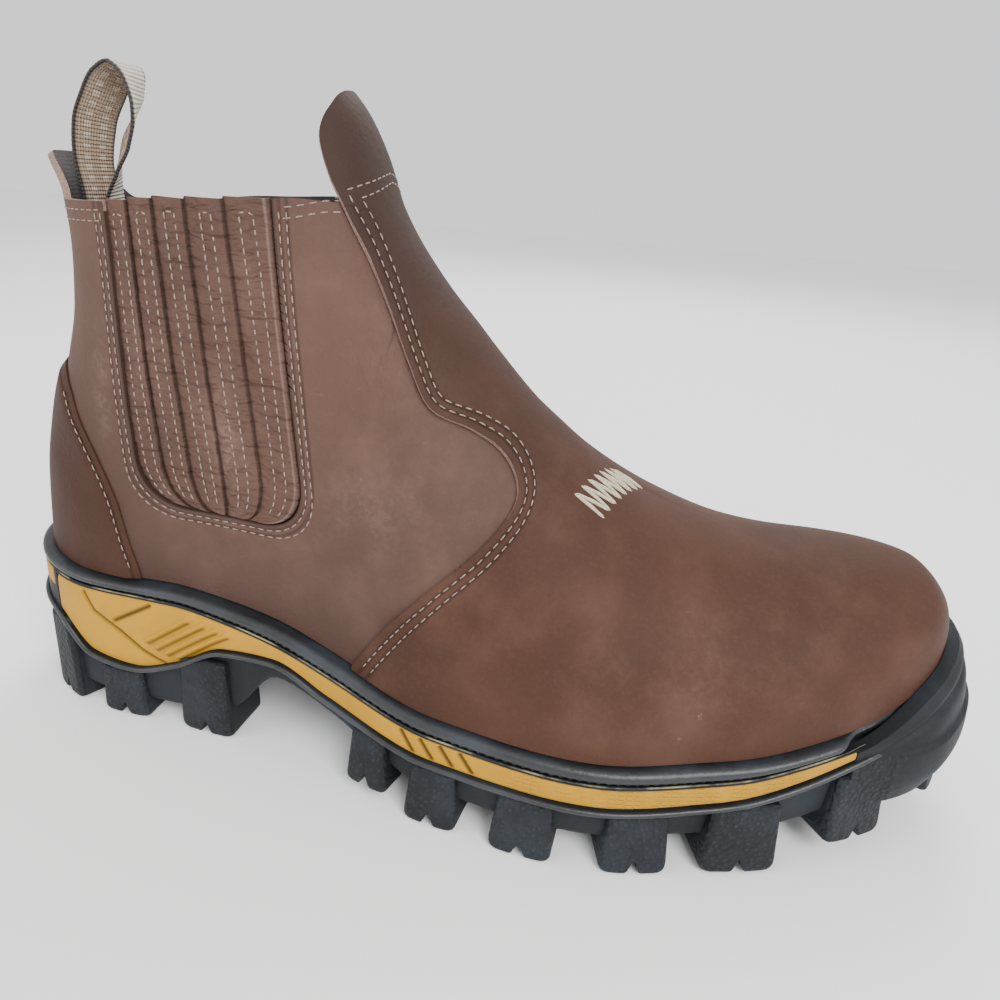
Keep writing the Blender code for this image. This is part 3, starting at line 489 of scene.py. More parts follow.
def flowing(points, steps=6):
    """Smooth line (Catmull-Rom) through side-view points, as shares turned into metres."""
    points = points * np.array([SOLE_LENGTH, COLLAR_HEIGHT])
    padded = np.concatenate([2 * points[:1] - points[1:2], points, 2 * points[-1:] - points[-2:-1]])
    t = (np.arange(steps) / steps)[None, :, None]
    a, b, c, d = (padded[k:len(padded) - 3 + k, None, :] for k in range(4))
    line = b + 0.5 * t * (c - a + t * (2 * a - 5 * b + 4 * c - d + t * (3 * b - a - 3 * c + d)))
    return np.concatenate([line.reshape(-1, 2), points[-1:]])


# Meshes from grids

def unit(vectors):
    """Vectors at length 1."""
    return vectors / np.maximum(np.linalg.norm(vectors, axis=-1, keepdims=True), 1e-12)


def run_along(line):
    """Distance from a line's start at each of its points."""
    return np.concatenate([[0.0], np.cumsum(np.linalg.norm(np.diff(line, axis=0), axis=1))])


def shade(colour, factor):
    """A colour made darker or lighter."""
    return tuple(c * factor for c in colour)


def grid_quads(rows, columns, closed=False):
    """Quads of a grid, as an array of rows by columns by four corners."""
    index = np.arange(rows * columns).reshape(rows, columns)
    right = np.roll(index, -1, axis=1)
    quads = np.stack([index[:-1], right[:-1], right[1:], index[1:]], -1)
    return quads if closed else quads[:, :-1]


def mesh_object(name, points, quads, slots=None, sharp=40.0, attributes=None):
    """Object from corner points in the boot's own metres and an array of quads."""
    mesh = bpy.data.meshes.new(name)
    points = np.asarray(points, float).reshape(-1, 3) + PLACE
    quads = np.asarray(quads).reshape(-1, np.shape(quads)[-1])
    used, inverse = np.unique(quads, return_inverse=True)
    quads = inverse.reshape(quads.shape)
    size = quads.shape[1]
    mesh.vertices.add(len(used))
    mesh.vertices.foreach_set("co", points[used].ravel())
    mesh.loops.add(quads.size)
    mesh.loops.foreach_set("vertex_index", quads.ravel().astype(np.int32))
    mesh.polygons.add(len(quads))
    mesh.polygons.foreach_set("loop_start", np.arange(0, quads.size, size, dtype=np.int32))
    if slots is not None:
        mesh.polygons.foreach_set("material_index", np.asarray(slots, np.int32).ravel())
    for key, values in (attributes or {}).items():
        layer = mesh.attributes.new(key, "FLOAT", "POINT")
        layer.data.foreach_set("value", np.asarray(values, np.float32).ravel()[used])
    mesh.update(calc_edges=True)
    mesh.validate()
    made = bpy.data.objects.new(name, mesh)
    bpy.context.scene.collection.objects.link(made)
    mesh.shade_smooth()
    if sharp:
        mesh.set_sharp_from_angle(angle=math.radians(sharp))
    return made


def grid_normals(point):
    """Normals of a grid that closes on itself, from its own neighbours."""
    across = np.roll(point, -1, axis=1) - np.roll(point, 1, axis=1)
    return unit(np.cross(across, np.gradient(point, axis=0)))


def inside(x, z, line):
    """Whether side-view points lie inside a closed line, by counting the edges above them."""
    x0, z0 = line[:, 0][:, None], line[:, 1][:, None]
    x1, z1 = np.roll(line[:, 0], -1)[:, None], np.roll(line[:, 1], -1)[:, None]
    px, pz = x.ravel()[None], z.ravel()[None]
    crosses = (z0 > pz) != (z1 > pz)
    with np.errstate(divide="ignore", invalid="ignore"):
        at = x0 + (pz - z0) / (z1 - z0) * (x1 - x0)
    return ((crosses & (px < at)).sum(0) % 2 == 1).reshape(x.shape)


def nearest(x, z, line):
    """Distance to an open side-view line and the nearest point on it, for each point."""
    a, b = line[:-1][:, None], line[1:][:, None]
    p = np.stack([x.ravel(), z.ravel()], -1)[None]
    along = b - a
    t = np.clip(((p - a) * along).sum(-1) / np.maximum((along ** 2).sum(-1), 1e-12), 0.0, 1.0)
    foot = a + t[..., None] * along
    gap = np.linalg.norm(p - foot, axis=-1)
    best = gap.argmin(0)
    pick = np.arange(gap.shape[1])
    return gap[best, pick].reshape(x.shape), foot[best, pick].reshape(x.shape + (2,))


def border_edges(quads, count):
    """Start and end of each edge that only one quad has, in that quad's own direction."""
    starts = quads.ravel()
    ends = np.roll(quads, -1, axis=1).ravel()
    forward = starts.astype(np.int64) * count + ends
    backward = ends.astype(np.int64) * count + starts
    border = ~np.isin(forward, backward)
    return starts[border], ends[border]


def walled_sheet(name, outer, inner, quads, attributes=None, sharp=40.0):
    """Closed leather from two grids: kept quads on both faces, a wall along their border.

    Material slots are 0 for the outer face, 1 for the inner one and 2 for the cut edge.
    """
    count = outer.shape[0] * outer.shape[1]
    quads = quads.reshape(-1, 4)
    a, b = border_edges(quads, count)
    wall = np.stack([b, a, a + count, b + count], -1)
    faces = np.concatenate([quads, quads[:, ::-1] + count, wall])
    slots = np.repeat([0, 1, 2], [len(quads), len(quads), len(wall)])
    points = np.concatenate([outer.reshape(-1, 3), inner.reshape(-1, 3)])
    both = {key: np.concatenate([np.ravel(v), np.ravel(v)]) for key, v in (attributes or {}).items()}
    return mesh_object(name, points, faces, slots, sharp, both)


def replace(piece, node):
    """Lets a finished piece stand for a solid of the frame."""
    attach(piece, "root")
    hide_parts(node)


def ride(piece):
    """Lets a finished piece ride on the boot beside the solids."""
    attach(piece, "root")


# Creases: side (-1 outer, 1 inner, 0 both), start and end in side view as shares of sole
# length and collar height, then half width and depth in metres
CREASES = (
    (0, (0.470, 0.300), (0.400, 0.420), 0.0060, 0.0007),
    (0, (0.560, 0.690), (0.500, 0.800), 0.0055, 0.0006),
    (-1, (0.380, 0.560), (0.440, 0.660), 0.0040, 0.0005),
    (-1, (0.370, 0.640), (0.420, 0.740), 0.0030, 0.0004),
    (-1, (0.375, 0.720), (0.405, 0.800), 0.0026, 0.0004),
    (-1, (0.215, 0.400), (0.300, 0.415), 0.0060, 0.0006),
    (1, (0.380, 0.600), (0.450, 0.640), 0.0045, 0.0005),
    (1, (0.220, 0.390), (0.310, 0.420), 0.0060, 0.0006),
    (0, (0.080, 0.560), (0.150, 0.440), 0.0070, 0.0005),
    (-1, (0.640, 0.560), (0.700, 0.420), 0.0100, 0.0006),
)


def crease_depth(x, z, side):
    """Sum of soft troughs, each a Gaussian across its line that fades at both ends."""
    depth = np.zeros_like(x)
    for face, start, end, width, deep in CREASES:
        a = np.array([start[0] * SOLE_LENGTH, start[1] * COLLAR_HEIGHT])
        b = np.array([end[0] * SOLE_LENGTH, end[1] * COLLAR_HEIGHT])
        run = b - a
        t = ((x - a[0]) * run[0] + (z - a[1]) * run[1]) / (run ** 2).sum()
        across = np.hypot(x - a[0] - t * run[0], z - a[1] - t * run[1])
        fade = smooth((t + 0.35) / 0.5) * smooth((1.35 - t) / 0.5)
        trough = deep * np.exp(-(across / width) ** 2) * fade
        rim = 0.45 * deep * np.exp(-((across - 2.0 * width) / width) ** 2) * fade
        depth += (trough - rim) * (1.0 if face == 0 else (side == face))
    return depth


def leather_grid(columns, rows, top):
    """Grid of the upper's outer face with its creases: points, normals and side sign."""
    turn = np.linspace(0.0, 2.0 * math.pi, columns, endpoint=False)
    edge = collar_ring(turn) + top
    ring = edge * np.linspace(0.0, 1.0, rows)[:, None]
    turn = np.broadcast_to(turn, ring.shape)
    point = upper_point(ring, turn)
    side = np.where(np.sin(turn) >= 0.0, -1.0, 1.0)
    normal = grid_normals(point)
    point = point - normal * crease_depth(point[..., 0], point[..., 2], side)[..., None]
    return point, normal, side


def snap(point, side, quads, line):
    """Moves the border corners of kept quads onto a side-view line, on the upper's own surface."""
    at = np.unique(np.concatenate(border_edges(quads, point.shape[0] * point.shape[1])))
    flat = point.reshape(-1, 3)
    gap, foot = nearest(flat[at, 0], flat[at, 2], line)
    near = gap < SNAP_REACH
    at, foot = at[near], foot[near]
    centre, half = side_shape(foot[:, 0], foot[:, 1])
    here_centre, here_half = side_shape(flat[at, 0], flat[at, 2])
    sign = side.reshape(-1)[at]
    shift = (centre + sign * half) - (here_centre + sign * here_half)
    flat[at, 1] += shift
    flat[at, 0] = foot[:, 0]
    flat[at, 2] = foot[:, 1]
    return flat.reshape(point.shape)


def quad_middles(point, quads):
    """x and z of the middle of each quad."""
    middle = point.reshape(-1, 3)[quads].mean(2)
    return middle[..., 0], middle[..., 2]


def panel_edges(z, shrink):
    """Back and front edge of a side panel's opening at a height, moved in by shrink."""
    foot = PANEL_FOOT * COLLAR_HEIGHT + shrink
    lift = (z - foot) / (COLLAR_HEIGHT - foot)
    back = (PANEL_LOW[0] + (PANEL_TOP[0] - PANEL_LOW[0]) * lift) * SOLE_LENGTH + shrink
    front = (PANEL_LOW[1] + (PANEL_TOP[1] - PANEL_LOW[1]) * lift) * SOLE_LENGTH - shrink
    corner = end_round(z - foot, PANEL_CORNER * COLLAR_HEIGHT)
    keep = PANEL_FLAT + (1.0 - PANEL_FLAT) * corner
    middle, half = (back + front) / 2.0, (front - back) / 2.0 * keep
    return middle - half, middle + half


def panel_line(shrink, top=1.25, steps=60):
    """Side-view line round a panel: down its back edge, along the foot and up its front."""
    foot = PANEL_FOOT * COLLAR_HEIGHT + shrink
    t = np.linspace(0.0, 1.0, steps) ** 2.2
    z = foot + (top * COLLAR_HEIGHT - foot) * t
    back, front = panel_edges(z, shrink)
    return np.concatenate([np.stack([back, z], 1)[::-1], np.stack([front, z], 1)])


def collar_z(x):
    """Height of the collar's edge above any x, tabs left out."""
    start_x, start_z, end_x, end_z = ring_ends(1.0)
    along = np.clip((x - start_x) / (end_x - start_x), 0.0, 1.0)
    above_back = start_z - floor_height(start_x)
    above_front = end_z - floor_height(end_x)
    dip = SIDE_DIP * COLLAR_HEIGHT * 4.0 * along * (1.0 - along)
    return floor_height(x) + above_back + (above_front - above_back) * along - dip


# Shader maths

class Wire:
    """A socket that takes part in Python arithmetic; each operation adds one Math node."""

    def __init__(self, finish, socket):
        self.finish = finish
        self.socket = socket

    def maths(self, operation, *values):
        """Result of one Math node on these values."""
        node = self.finish.node("ShaderNodeMath", {"operation": operation}, values)
        return Wire(self.finish, node.outputs[0])

    def __add__(self, other):
        return self.maths("ADD", self, other)

    def __sub__(self, other):
        return self.maths("SUBTRACT", self, other)

    def __mul__(self, other):
        return self.maths("MULTIPLY", self, other)

    def __truediv__(self, other):
        return self.maths("DIVIDE", self, other)

    def __rsub__(self, other):
        return self.maths("SUBTRACT", other, self)

    def __pow__(self, other):
        return self.maths("POWER", self, other)

    __radd__ = __add__
    __rmul__ = __mul__

    def abs(self):
        return self.maths("ABSOLUTE", self)

    def exp(self):
        return self.maths("EXPONENT", self)

    def sine(self):
        return self.maths("SINE", self)

    def clip(self):
        """Value held between 0 and 1."""
        node = self.finish.node("ShaderNodeMath", {"operation": "ADD", "use_clamp": True}, (self, 0.0))
        return Wire(self.finish, node.outputs[0])

    def step(self, low, high):
        """Smooth step between two values, falling where low is the greater."""
        ends = (0.0, 1.0) if low < high else (1.0, 0.0)
        node = self.finish.node("ShaderNodeMapRange", {"interpolation_type": "SMOOTHSTEP"},
                                (self, min(low, high), max(low, high)) + ends)
        return Wire(self.finish, node.outputs[0])


class Finish:
    """Material with one Principled shader, whose nodes all come from one method."""

    def __init__(self, name):
        self.material = bpy.data.materials.new(name)
        self.material.use_nodes = True
        self.tree = self.material.node_tree
        self.shader = self.tree.nodes["Principled BSDF"]
        self.coordinates = self.node("ShaderNodeTexCoord").outputs["Object"]

    def node(self, kind, settings=None, inputs=()):
        """New node: its settings first, then its sockets by order or by name."""
        made = self.tree.nodes.new(kind)
        for key, value in (settings or {}).items():
            if key == "stops":
                ramp = made.color_ramp
                while len(ramp.elements) < len(value):
                    ramp.elements.new(0.5)
                for element, (place, colour) in zip(ramp.elements, value):
                    element.position = place
                    element.color = (*colour, 1.0)
            else:
                setattr(made, key, value)
        pairs = inputs.items() if isinstance(inputs, dict) else enumerate(inputs)
        for key, value in pairs:
            self.feed(made.inputs[key], value)
        return made

    def feed(self, socket, value):
        """Links a wire or a socket to a socket, or sets a plain value."""
        if isinstance(value, Wire):
            self.tree.links.new(value.socket, socket)
        elif isinstance(value, bpy.types.NodeSocket):
            self.tree.links.new(value, socket)
        else:
            socket.default_value = value

    def set(self, name, value):
        """Feeds one input of the Principled shader."""
        self.feed(self.shader.inputs[name], value)

    def noise(self, scale, detail=4.0, rough=0.55, stretch=None, distortion=0.0, lean=0.0):
        """Noise on the piece's own coordinates, 0 to 1; stretch divides each axis once turned by lean."""
        where = self.coordinates
        if stretch:
            turned = {"Vector": where, "Scale": stretch, "Rotation": (0.0, lean, 0.0)}
            where = self.node("ShaderNodeMapping", None, turned).outputs[0]
        made = self.node("ShaderNodeTexNoise", None, {"Vector": where, "Scale": scale, "Detail": detail,
                                                      "Roughness": rough, "Distortion": distortion})
        return Wire(self, made.outputs["Fac"])

    def cells(self, scale, feature="F1", stretch=None, randomness=1.0):
        """Distance within Voronoi cells on the piece's own coordinates."""
        where = self.coordinates
        if stretch:
            where = self.node("ShaderNodeMapping", None, {"Vector": where, "Scale": stretch}).outputs[0]
        made = self.node("ShaderNodeTexVoronoi", {"feature": feature},
                         {"Vector": where, "Scale": scale, "Randomness": randomness})
        return Wire(self, made.outputs["Distance"])

    def attribute(self, name):
        """Value that the piece carries on its points."""
        made = self.node("ShaderNodeAttribute", {"attribute_name": name, "attribute_type": "GEOMETRY"})
        return Wire(self, made.outputs["Fac"])

    def mix(self, factor, first, second):
        """Colour between two colours."""
        made = self.node("ShaderNodeMix", {"data_type": "RGBA"})
        colours = [s for s in made.inputs if s.type == "RGBA"]
        self.feed(made.inputs[0], factor)
        for socket, value in zip(colours, (first, second)):
            self.feed(socket, value if not isinstance(value, tuple) else (*value[:3], 1.0))
        return [s for s in made.outputs if s.type == "RGBA"][0]

    def bump(self, height, distance, strength=1.0, below=None):
        """Normal of a height, over the normal below it."""
        inputs = {"Height": height, "Distance": distance, "Strength": strength}
        if below is not None:
            inputs["Normal"] = below
        return self.node("ShaderNodeBump", None, inputs).outputs[0]


# Finishes. Rubbed and scuffed spots: x and z of the middle, half length, half height, strength
SPOTS = (
    (-0.0735, 0.100, 0.0040, 0.0190, 0.34),
    (-0.1130, 0.118, 0.0030, 0.0190, 0.26),
    (-0.0300, 0.090, 0.0160, 0.0100, 0.14),
    (0.0600, 0.060, 0.0300, 0.0140, 0.07),
)


def bell_at(across, middle, half):
    """Gaussian of a shader value round a middle."""
    return (((across - middle) / half) ** 2.0 * -1.0).exp()


def leather_finish(name, colours, rows=(), grain=1.0, worn=0.5, folds=False, tab=0.0, low=0.0, border=0.0):
    """Oiled nubuck: blotchy brown, fine nap, dust in specks, grooves under the stitch rows.

    Stitch grooves are Gaussians of the piece's own distance to its cut edge and are darkened with
    painted shade. Painted shade also darkens the leather towards the heel, and with tab, low and
    border up the front tab, above the welt and along its edge. With folds, pleat ends get a dark
    line of painted shade and the last pleat a pale line where it folds.
    """
    look = Finish(name)
    dark, mid, light, dust = colours
    place = look.node("ShaderNodeSeparateXYZ", None, (look.coordinates,))
    x, y, z = (Wire(look, place.outputs[k]) for k in range(3))
    broad = look.noise(14.0, 3.0, 0.6)
    cloud = look.noise(55.0, 5.0, 0.62)
    nap = look.noise(900.0, 3.0, 0.7)
    speck = look.noise(420.0, 2.0, 0.5)
    scratch = look.noise(120.0, 4.0, 0.6, (1.0, 1.0, 5.0))
    flecks = look.noise(520.0, 3.0, 0.7).step(0.42, 0.62) * 0.75 + 0.25
    colour = look.mix(broad.step(0.30, 0.72), dark, mid)
    colour = look.mix((cloud.step(0.42, 0.80) * worn).clip(), colour, light)
    colour = look.mix((nap.step(0.45, 0.9) * 0.35).clip(), colour, light)
    colour = look.mix((speck.step(0.70, 0.80) * cloud.step(0.5, 0.7) * 0.35).clip(), colour, dust)
    colour = look.mix((scratch.step(0.70, 0.78) * 0.18).clip(), colour, dust)
    # Painted shade: darker towards the heel and, with low, darker above the welt
    deep = x.step(-0.080, -0.128) * z.step(0.135, 0.100) * 0.55
    if low:
        deep = deep + z.step(0.090, 0.050) * low
    colour = look.mix(deep.clip(), colour, shade(dark, 0.55))
    # Painted shade up the front tab, in a greyer dark tone
    if tab:
        tab_shade_grey = tuple(c * k for c, k in zip(dark, (0.62, 0.85, 1.05)))
        colour = look.mix((z.step(0.075, 0.175) * tab).clip(), colour, tab_shade_grey)
    for at_x, at_z, long, high, strong in SPOTS:
        spot = ((((x - at_x) / long) ** 2.0 + ((z - at_z) / high) ** 2.0) * -1.0).exp()
        rubbed = spot * y.step(0.01, -0.01) * cloud.step(0.30, 0.62) * flecks * strong
        colour = look.mix(rubbed.clip(), colour, dust)
    height = look.noise(1400.0, 3.0, 0.65) * 0.5 + look.cells(760.0) * 0.5
    normal = look.bump(height, 0.00012 * grain)
    if folds:
        wrinkle = look.noise(105.0, 2.5, 0.55, (1.0, 1.0, 2.6), 0.3)
        normal = look.bump(wrinkle, 0.0042, 0.9, normal)
        # Painted shade: a dark line at each pleat's step
        colour = look.mix((look.attribute("fold") * 0.85).clip(), colour, shade(dark, 0.25))
        colour = look.mix((look.attribute("pale") * 0.4).clip(), colour, dust)
    else:
        wrinkle = look.noise(105.0, 2.5, 0.55, (2.6, 1.0, 1.0), 0.3, -0.8)
        bend = ((((x + 0.026) / 0.012) ** 2.0 + ((z - 0.132) / 0.020) ** 2.0) * -1.0).exp()
        normal = look.bump(wrinkle * bend, 0.0020, 0.9, normal)
    soft = look.bump(cloud + broad, 0.0011, 0.5, normal)
    if rows:
        edge = look.attribute("edge")
        groove = bell_at(edge, rows[0], 0.0005)
        for at in rows[1:]:
            groove = groove + bell_at(edge, at, 0.0005)
        # Painted shade in the stitch grooves
        colour = look.mix((groove * 0.55).clip(), colour, shade(dark, 0.5))
        # Painted shade along the cut edge, where it steps over the panel
        if border:
            colour = look.mix((bell_at(edge, 0.0001, 0.0006) * border).clip(), colour, shade(dark, 0.2))
        soft = look.bump(groove * -1.0, 0.0005, 0.8, soft)
    look.set("Base Color", colour)
    look.set("Normal", soft)
    look.set("Roughness", cloud * 0.22 + 0.52)
    look.shader.inputs["Specular IOR Level"].default_value = 0.12
    return look.material


def cut_edge_finish(colour, fleck):
    """Raw leather edge: pale fibres with darker gaps."""
    look = Finish("cut_leather_edge")
    fibres = look.noise(1800.0, 4.0, 0.8)
    look.set("Base Color", look.mix(fibres.step(0.3, 0.7), fleck, colour))
    look.set("Roughness", 0.9)
    look.set("Normal", look.bump(fibres, 0.0003))
    return look.material


def lining_finish(colour):
    """Dark textile lining with a fine crossed weave."""
    look = Finish("boot_lining")
    weave = look.cells(900.0, "F1", None, 0.2)
    cloud = look.noise(40.0, 4.0)
    look.set("Base Color", look.mix(cloud.step(0.3, 0.7), colour, shade(colour, 1.7)))
    look.set("Roughness", 0.92)
    look.set("Normal", look.bump(weave, 0.0003))
    return look.material


def rubber_finish(name, dark, light, dusty=0.4, pebble=0.0, gloss=0.45, patch_tone=None):
    """Moulded black rubber: dust in broad clouds and, on lugs, a pebbled face.

    With a patch tone, the light patch at the back of the heel runs on round both sides.
    """
    look = Finish(name)
    cloud = look.noise(45.0, 5.0, 0.6)
    fine = look.noise(600.0, 3.0, 0.6)
    colour = look.mix((cloud.step(0.35, 0.75) * dusty).clip(), dark, light)
    colour = look.mix((fine.step(0.60, 0.78) * dusty * 0.5).clip(), colour, light)
    normal = look.bump(fine, 0.00015)
    if pebble:
        stones = look.cells(620.0)
        patch = look.attribute("pebble")
        normal = look.bump((1.0 - stones) * patch, 0.0006 * pebble, 1.0, normal)
        colour = look.mix((stones.step(0.45, 0.1) * patch * 0.55).clip(), colour, light)
    if patch_tone:
        place = look.node("ShaderNodeSeparateXYZ", None, (look.coordinates,))
        x, z = Wire(look, place.outputs[0]), Wire(look, place.outputs[2])
        end = x.step(PLACE[0] + PATCH_REACH, PLACE[0] + PATCH_REACH - 0.0004)
        across = z.step(PATCH_LOW, PATCH_LOW + 0.0003) * z.step(PATCH_TOP, PATCH_TOP - 0.0003)
        colour = look.mix(end * across, colour, patch_tone)
    look.shader.inputs["Specular IOR Level"].default_value = 0.5 if gloss < 0.4 else 0.2
    look.set("Base Color", colour)
    look.set("Roughness", cloud * 0.25 + gloss)
    look.set("Normal", normal)
    return look.material


def ochre_finish(name, dark, mid, light):
    """Light moulded rubber: warm ochre, darker with painted shade in the relief's grooves and under its
    raised ribs.
    """
    look = Finish(name)
    cloud = look.noise(60.0, 4.0, 0.6)
    hollow = look.attribute("hollow")
    colour = look.mix(cloud.step(0.3, 0.75), mid, light)
    # Painted shade in the relief's grooves and under its ribs
    colour = look.mix(hollow.clip(), colour, dark)
    mesh = look.cells(420.0, "DISTANCE_TO_EDGE", (1.0, 1.0, 1.6), 0.15)
    patch = look.attribute("leafy")
    normal = look.bump(mesh.step(0.0, 0.25) * patch, 0.0002)
    look.set("Base Color", colour)
    look.set("Roughness", cloud * 0.2 + 0.42)
    look.shader.inputs["Specular IOR Level"].default_value = 0.18
    look.set("Normal", look.bump(look.noise(900.0, 2.0), 0.00006, 1.0, normal))
    return look.material


def thread_finish(name, colour, shade):
    """Twisted thread: fine oblique bands and a soft sheen."""
    look = Finish(name)
    strands = look.noise(2500.0, 2.0, 0.6)
    # Darker patches of grime on the thread
    dirt_and_shade = look.noise(90.0, 3.0, 0.6)
    tone = look.mix(strands.step(0.35, 0.7), shade, colour)
    look.set("Base Color", look.mix((dirt_and_shade.step(0.55, 0.75) * 0.4).clip(), tone, shade))
    look.set("Roughness", 0.7)
    look.set("Normal", look.bump(strands, 0.0002))
    return look.material


def webbing_finish(name, ground, bar, edge):
    """Woven tape on its own UV map: cross ribs, two columns of light bars, dark selvedges."""
    look = Finish(name)
    uv = look.node("ShaderNodeUVMap", {"uv_map": "UVMap"}).outputs[0]
    split = look.node("ShaderNodeSeparateXYZ", None, (uv,))
    along, across = Wire(look, split.outputs[0]), Wire(look, split.outputs[1])
    ribs = (along * (2.0 * math.pi / RIB_PITCH)).sine()
    cross = (across * (2.0 * math.pi * 16.0)).sine()
    off = (across - 0.5).abs()
    selvedge = off.step(0.40, 0.47)
    column = ((off - 0.19).abs()).step(0.085, 0.06)
    pick = (along * (2.0 * math.pi / 0.0030)).sine().step(-0.1, 0.3)
    tint = look.noise(300.0, 3.0)
    colour = look.mix((tint * 0.6).clip(), ground, shade(ground, 1.35))
    colour = look.mix((column * pick * 0.85).clip(), colour, bar)
    colour = look.mix(selvedge, colour, edge)
    look.set("Base Color", colour)
    look.set("Roughness", 0.85)
    look.set("Normal", look.bump(ribs * 0.5 + cross * 0.3, 0.0003))
    return look.material


# Properties

class BootColours(bpy.types.PropertyGroup):
    """Colours of the boot."""
    leather: bpy.props.FloatVectorProperty(
        name="Leather", description="Middle tone of the nubuck", subtype="COLOR",
        default=(0.069, 0.0310, 0.0200), min=0.0, max=1.0)
    leather_dark: bpy.props.FloatVectorProperty(
        name="Leather, dark", description="Dark blotches of the nubuck", subtype="COLOR",
        default=(0.049, 0.0220, 0.0142), min=0.0, max=1.0)
    leather_light: bpy.props.FloatVectorProperty(
        name="Leather, worn", description="Rubbed, paler nap", subtype="COLOR",
        default=(0.100, 0.052, 0.038), min=0.0, max=1.0)
    dust: bpy.props.FloatVectorProperty(
        name="Dust", description="Pale specks and scuffs", subtype="COLOR",
        default=(0.27, 0.19, 0.165), min=0.0, max=1.0)
    cut: bpy.props.FloatVectorProperty(
        name="Cut leather", description="Raw edge of the leather", subtype="COLOR",
        default=(0.33, 0.21, 0.17), min=0.0, max=1.0)
    thread: bpy.props.FloatVectorProperty(
        name="Thread", description="Seam thread", subtype="COLOR",
        default=(0.37, 0.275, 0.225), min=0.0, max=1.0)
    lining: bpy.props.FloatVectorProperty(
        name="Lining", description="Textile inside the boot", subtype="COLOR",
        default=(0.035, 0.030, 0.030), min=0.0, max=1.0)
    rubber: bpy.props.FloatVectorProperty(
        name="Sole rubber", description="Black rubber", subtype="COLOR",
        default=(0.0085, 0.0095, 0.0110), min=0.0, max=1.0)
    rubber_dust: bpy.props.FloatVectorProperty(
        name="Rubber, dusty", description="Dust on the rubber", subtype="COLOR",
        default=(0.026, 0.033, 0.041), min=0.0, max=1.0)
    ochre: bpy.props.FloatVectorProperty(
        name="Side band", description="Light rubber of the band", subtype="COLOR",
        default=(0.40, 0.205, 0.011), min=0.0, max=1.0)
    webbing: bpy.props.FloatVectorProperty(
        name="Webbing", description="Ground of the pull loop", subtype="COLOR",
        default=(0.29, 0.215, 0.155), min=0.0, max=1.0)


class BootSizes(bpy.types.PropertyGroup):
    """Sizes of the seams and the fineness of the leather grids."""
    stitch: bpy.props.FloatProperty(
        name="Stitch", description="Length of one stitch with its gap", subtype="DISTANCE",
        unit="LENGTH", default=0.0030, min=0.001, max=0.01)
    thread: bpy.props.FloatProperty(
        name="Thread", description="Thickness of the thread", subtype="DISTANCE",
        unit="LENGTH", default=0.00046, min=0.0003, max=0.002)
    detail: bpy.props.IntProperty(
        name="Grid detail", description="Columns of the leather grids", default=360, min=60, max=600)


def settings():
    """The scene's own colours and sizes of the boot."""
    return bpy.context.scene.boot_colours, bpy.context.scene.boot_sizes


def leathers(pale=0.0):
    """Tones of the nubuck: dark, middle, worn and dust; pale moves the first three to the dust."""
    tone = settings()[0]
    dust = tuple(tone.dust)
    first = (tone.leather_dark, tone.leather, tone.leather_light)
    return tuple(tuple(a + (b - a) * pale for a, b in zip(c, dust)) for c in first) + (dust,)


def quiet_walls(piece):
    """Gives the cut edges below the collar the leather's own colour."""
    for face in piece.data.polygons:
        collar = collar_z(face.center.x - PLACE[0])
        if face.material_index == 2 and face.center.z < collar - 0.003:
            face.material_index = 0


def edge_material():
    """Finish of the raw leather edges, made once."""
    found = bpy.data.materials.get("cut_leather_edge")
    cut = tuple(settings()[0].cut)
    return found or cut_edge_finish(cut, shade(cut, 0.45))


def lining_material():
    """Finish of the textile lining, made once."""
    found = bpy.data.materials.get("boot_lining")
    return found or lining_finish(tuple(settings()[0].lining))


def add_materials(piece, *materials):
    """Gives a piece its materials, one to a slot."""
    for material in materials:
        piece.data.materials.append(material)


# Pieces, one operator each

class BOOT_OT_upper(bpy.types.Operator):
    """Builds the hollow upper with its panel openings, as one wall of leather and lining."""
    bl_idname = "boot.upper"
    bl_label = "Upper"

    def execute(self, context):
        point, normal, side = leather_grid(settings()[1].detail - 60, 130, 0.0)
        quads = grid_quads(*point.shape[:2], closed=True)
        line = panel_line(0.0)
        x, z = quad_middles(point, quads)
        kept = quads[~(inside(x, z, line) & (x < PANEL_LOW[1] * 1.1 * SOLE_LENGTH))]
        point = snap(point, side, kept, line)
        point[0, :, 2] = floor_height(point[0, :, 0])
        edge = nearest(point[..., 0], point[..., 2], line)[0]
        inner = point - normal * WALL
        inner[0, :, 2] = floor_height(inner[0, :, 0])
        made = walled_sheet("quarter_leather", point, inner, kept, {"edge": edge})
        # low and border paint shade above the welt and along the opening's edge
        nubuck = leather_finish("quarter_nubuck", leathers(0.13), QUARTER_ROWS, 1.2, 0.8,
                                low=0.35, border=0.6)
        add_materials(made, nubuck, lining_material(), edge_material())
        quiet_walls(made)
        replace(made, "upper")
        return {"FINISHED"}


def overlay_cut(top, line, rest):
    """Leather grid with its rings raised by top, cut along a side-view line that rest closes."""
    point, normal, side = leather_grid(settings()[1].detail, 170, top)
    quads = grid_quads(*point.shape[:2], closed=True)
    kept = quads[inside(*quad_middles(point, quads), np.concatenate([line, np.array(rest)]))]
    return snap(point, side, kept, line), normal, kept


def row_spread(z):
    """Share by which the vamp's rows close up on the edge with height."""
    widest, closest = ROW_SPREAD
    low, high = ROW_SPREAD_HEIGHTS
    return np.clip(widest - (z - low) / (high - low) * (widest - closest), closest, widest)


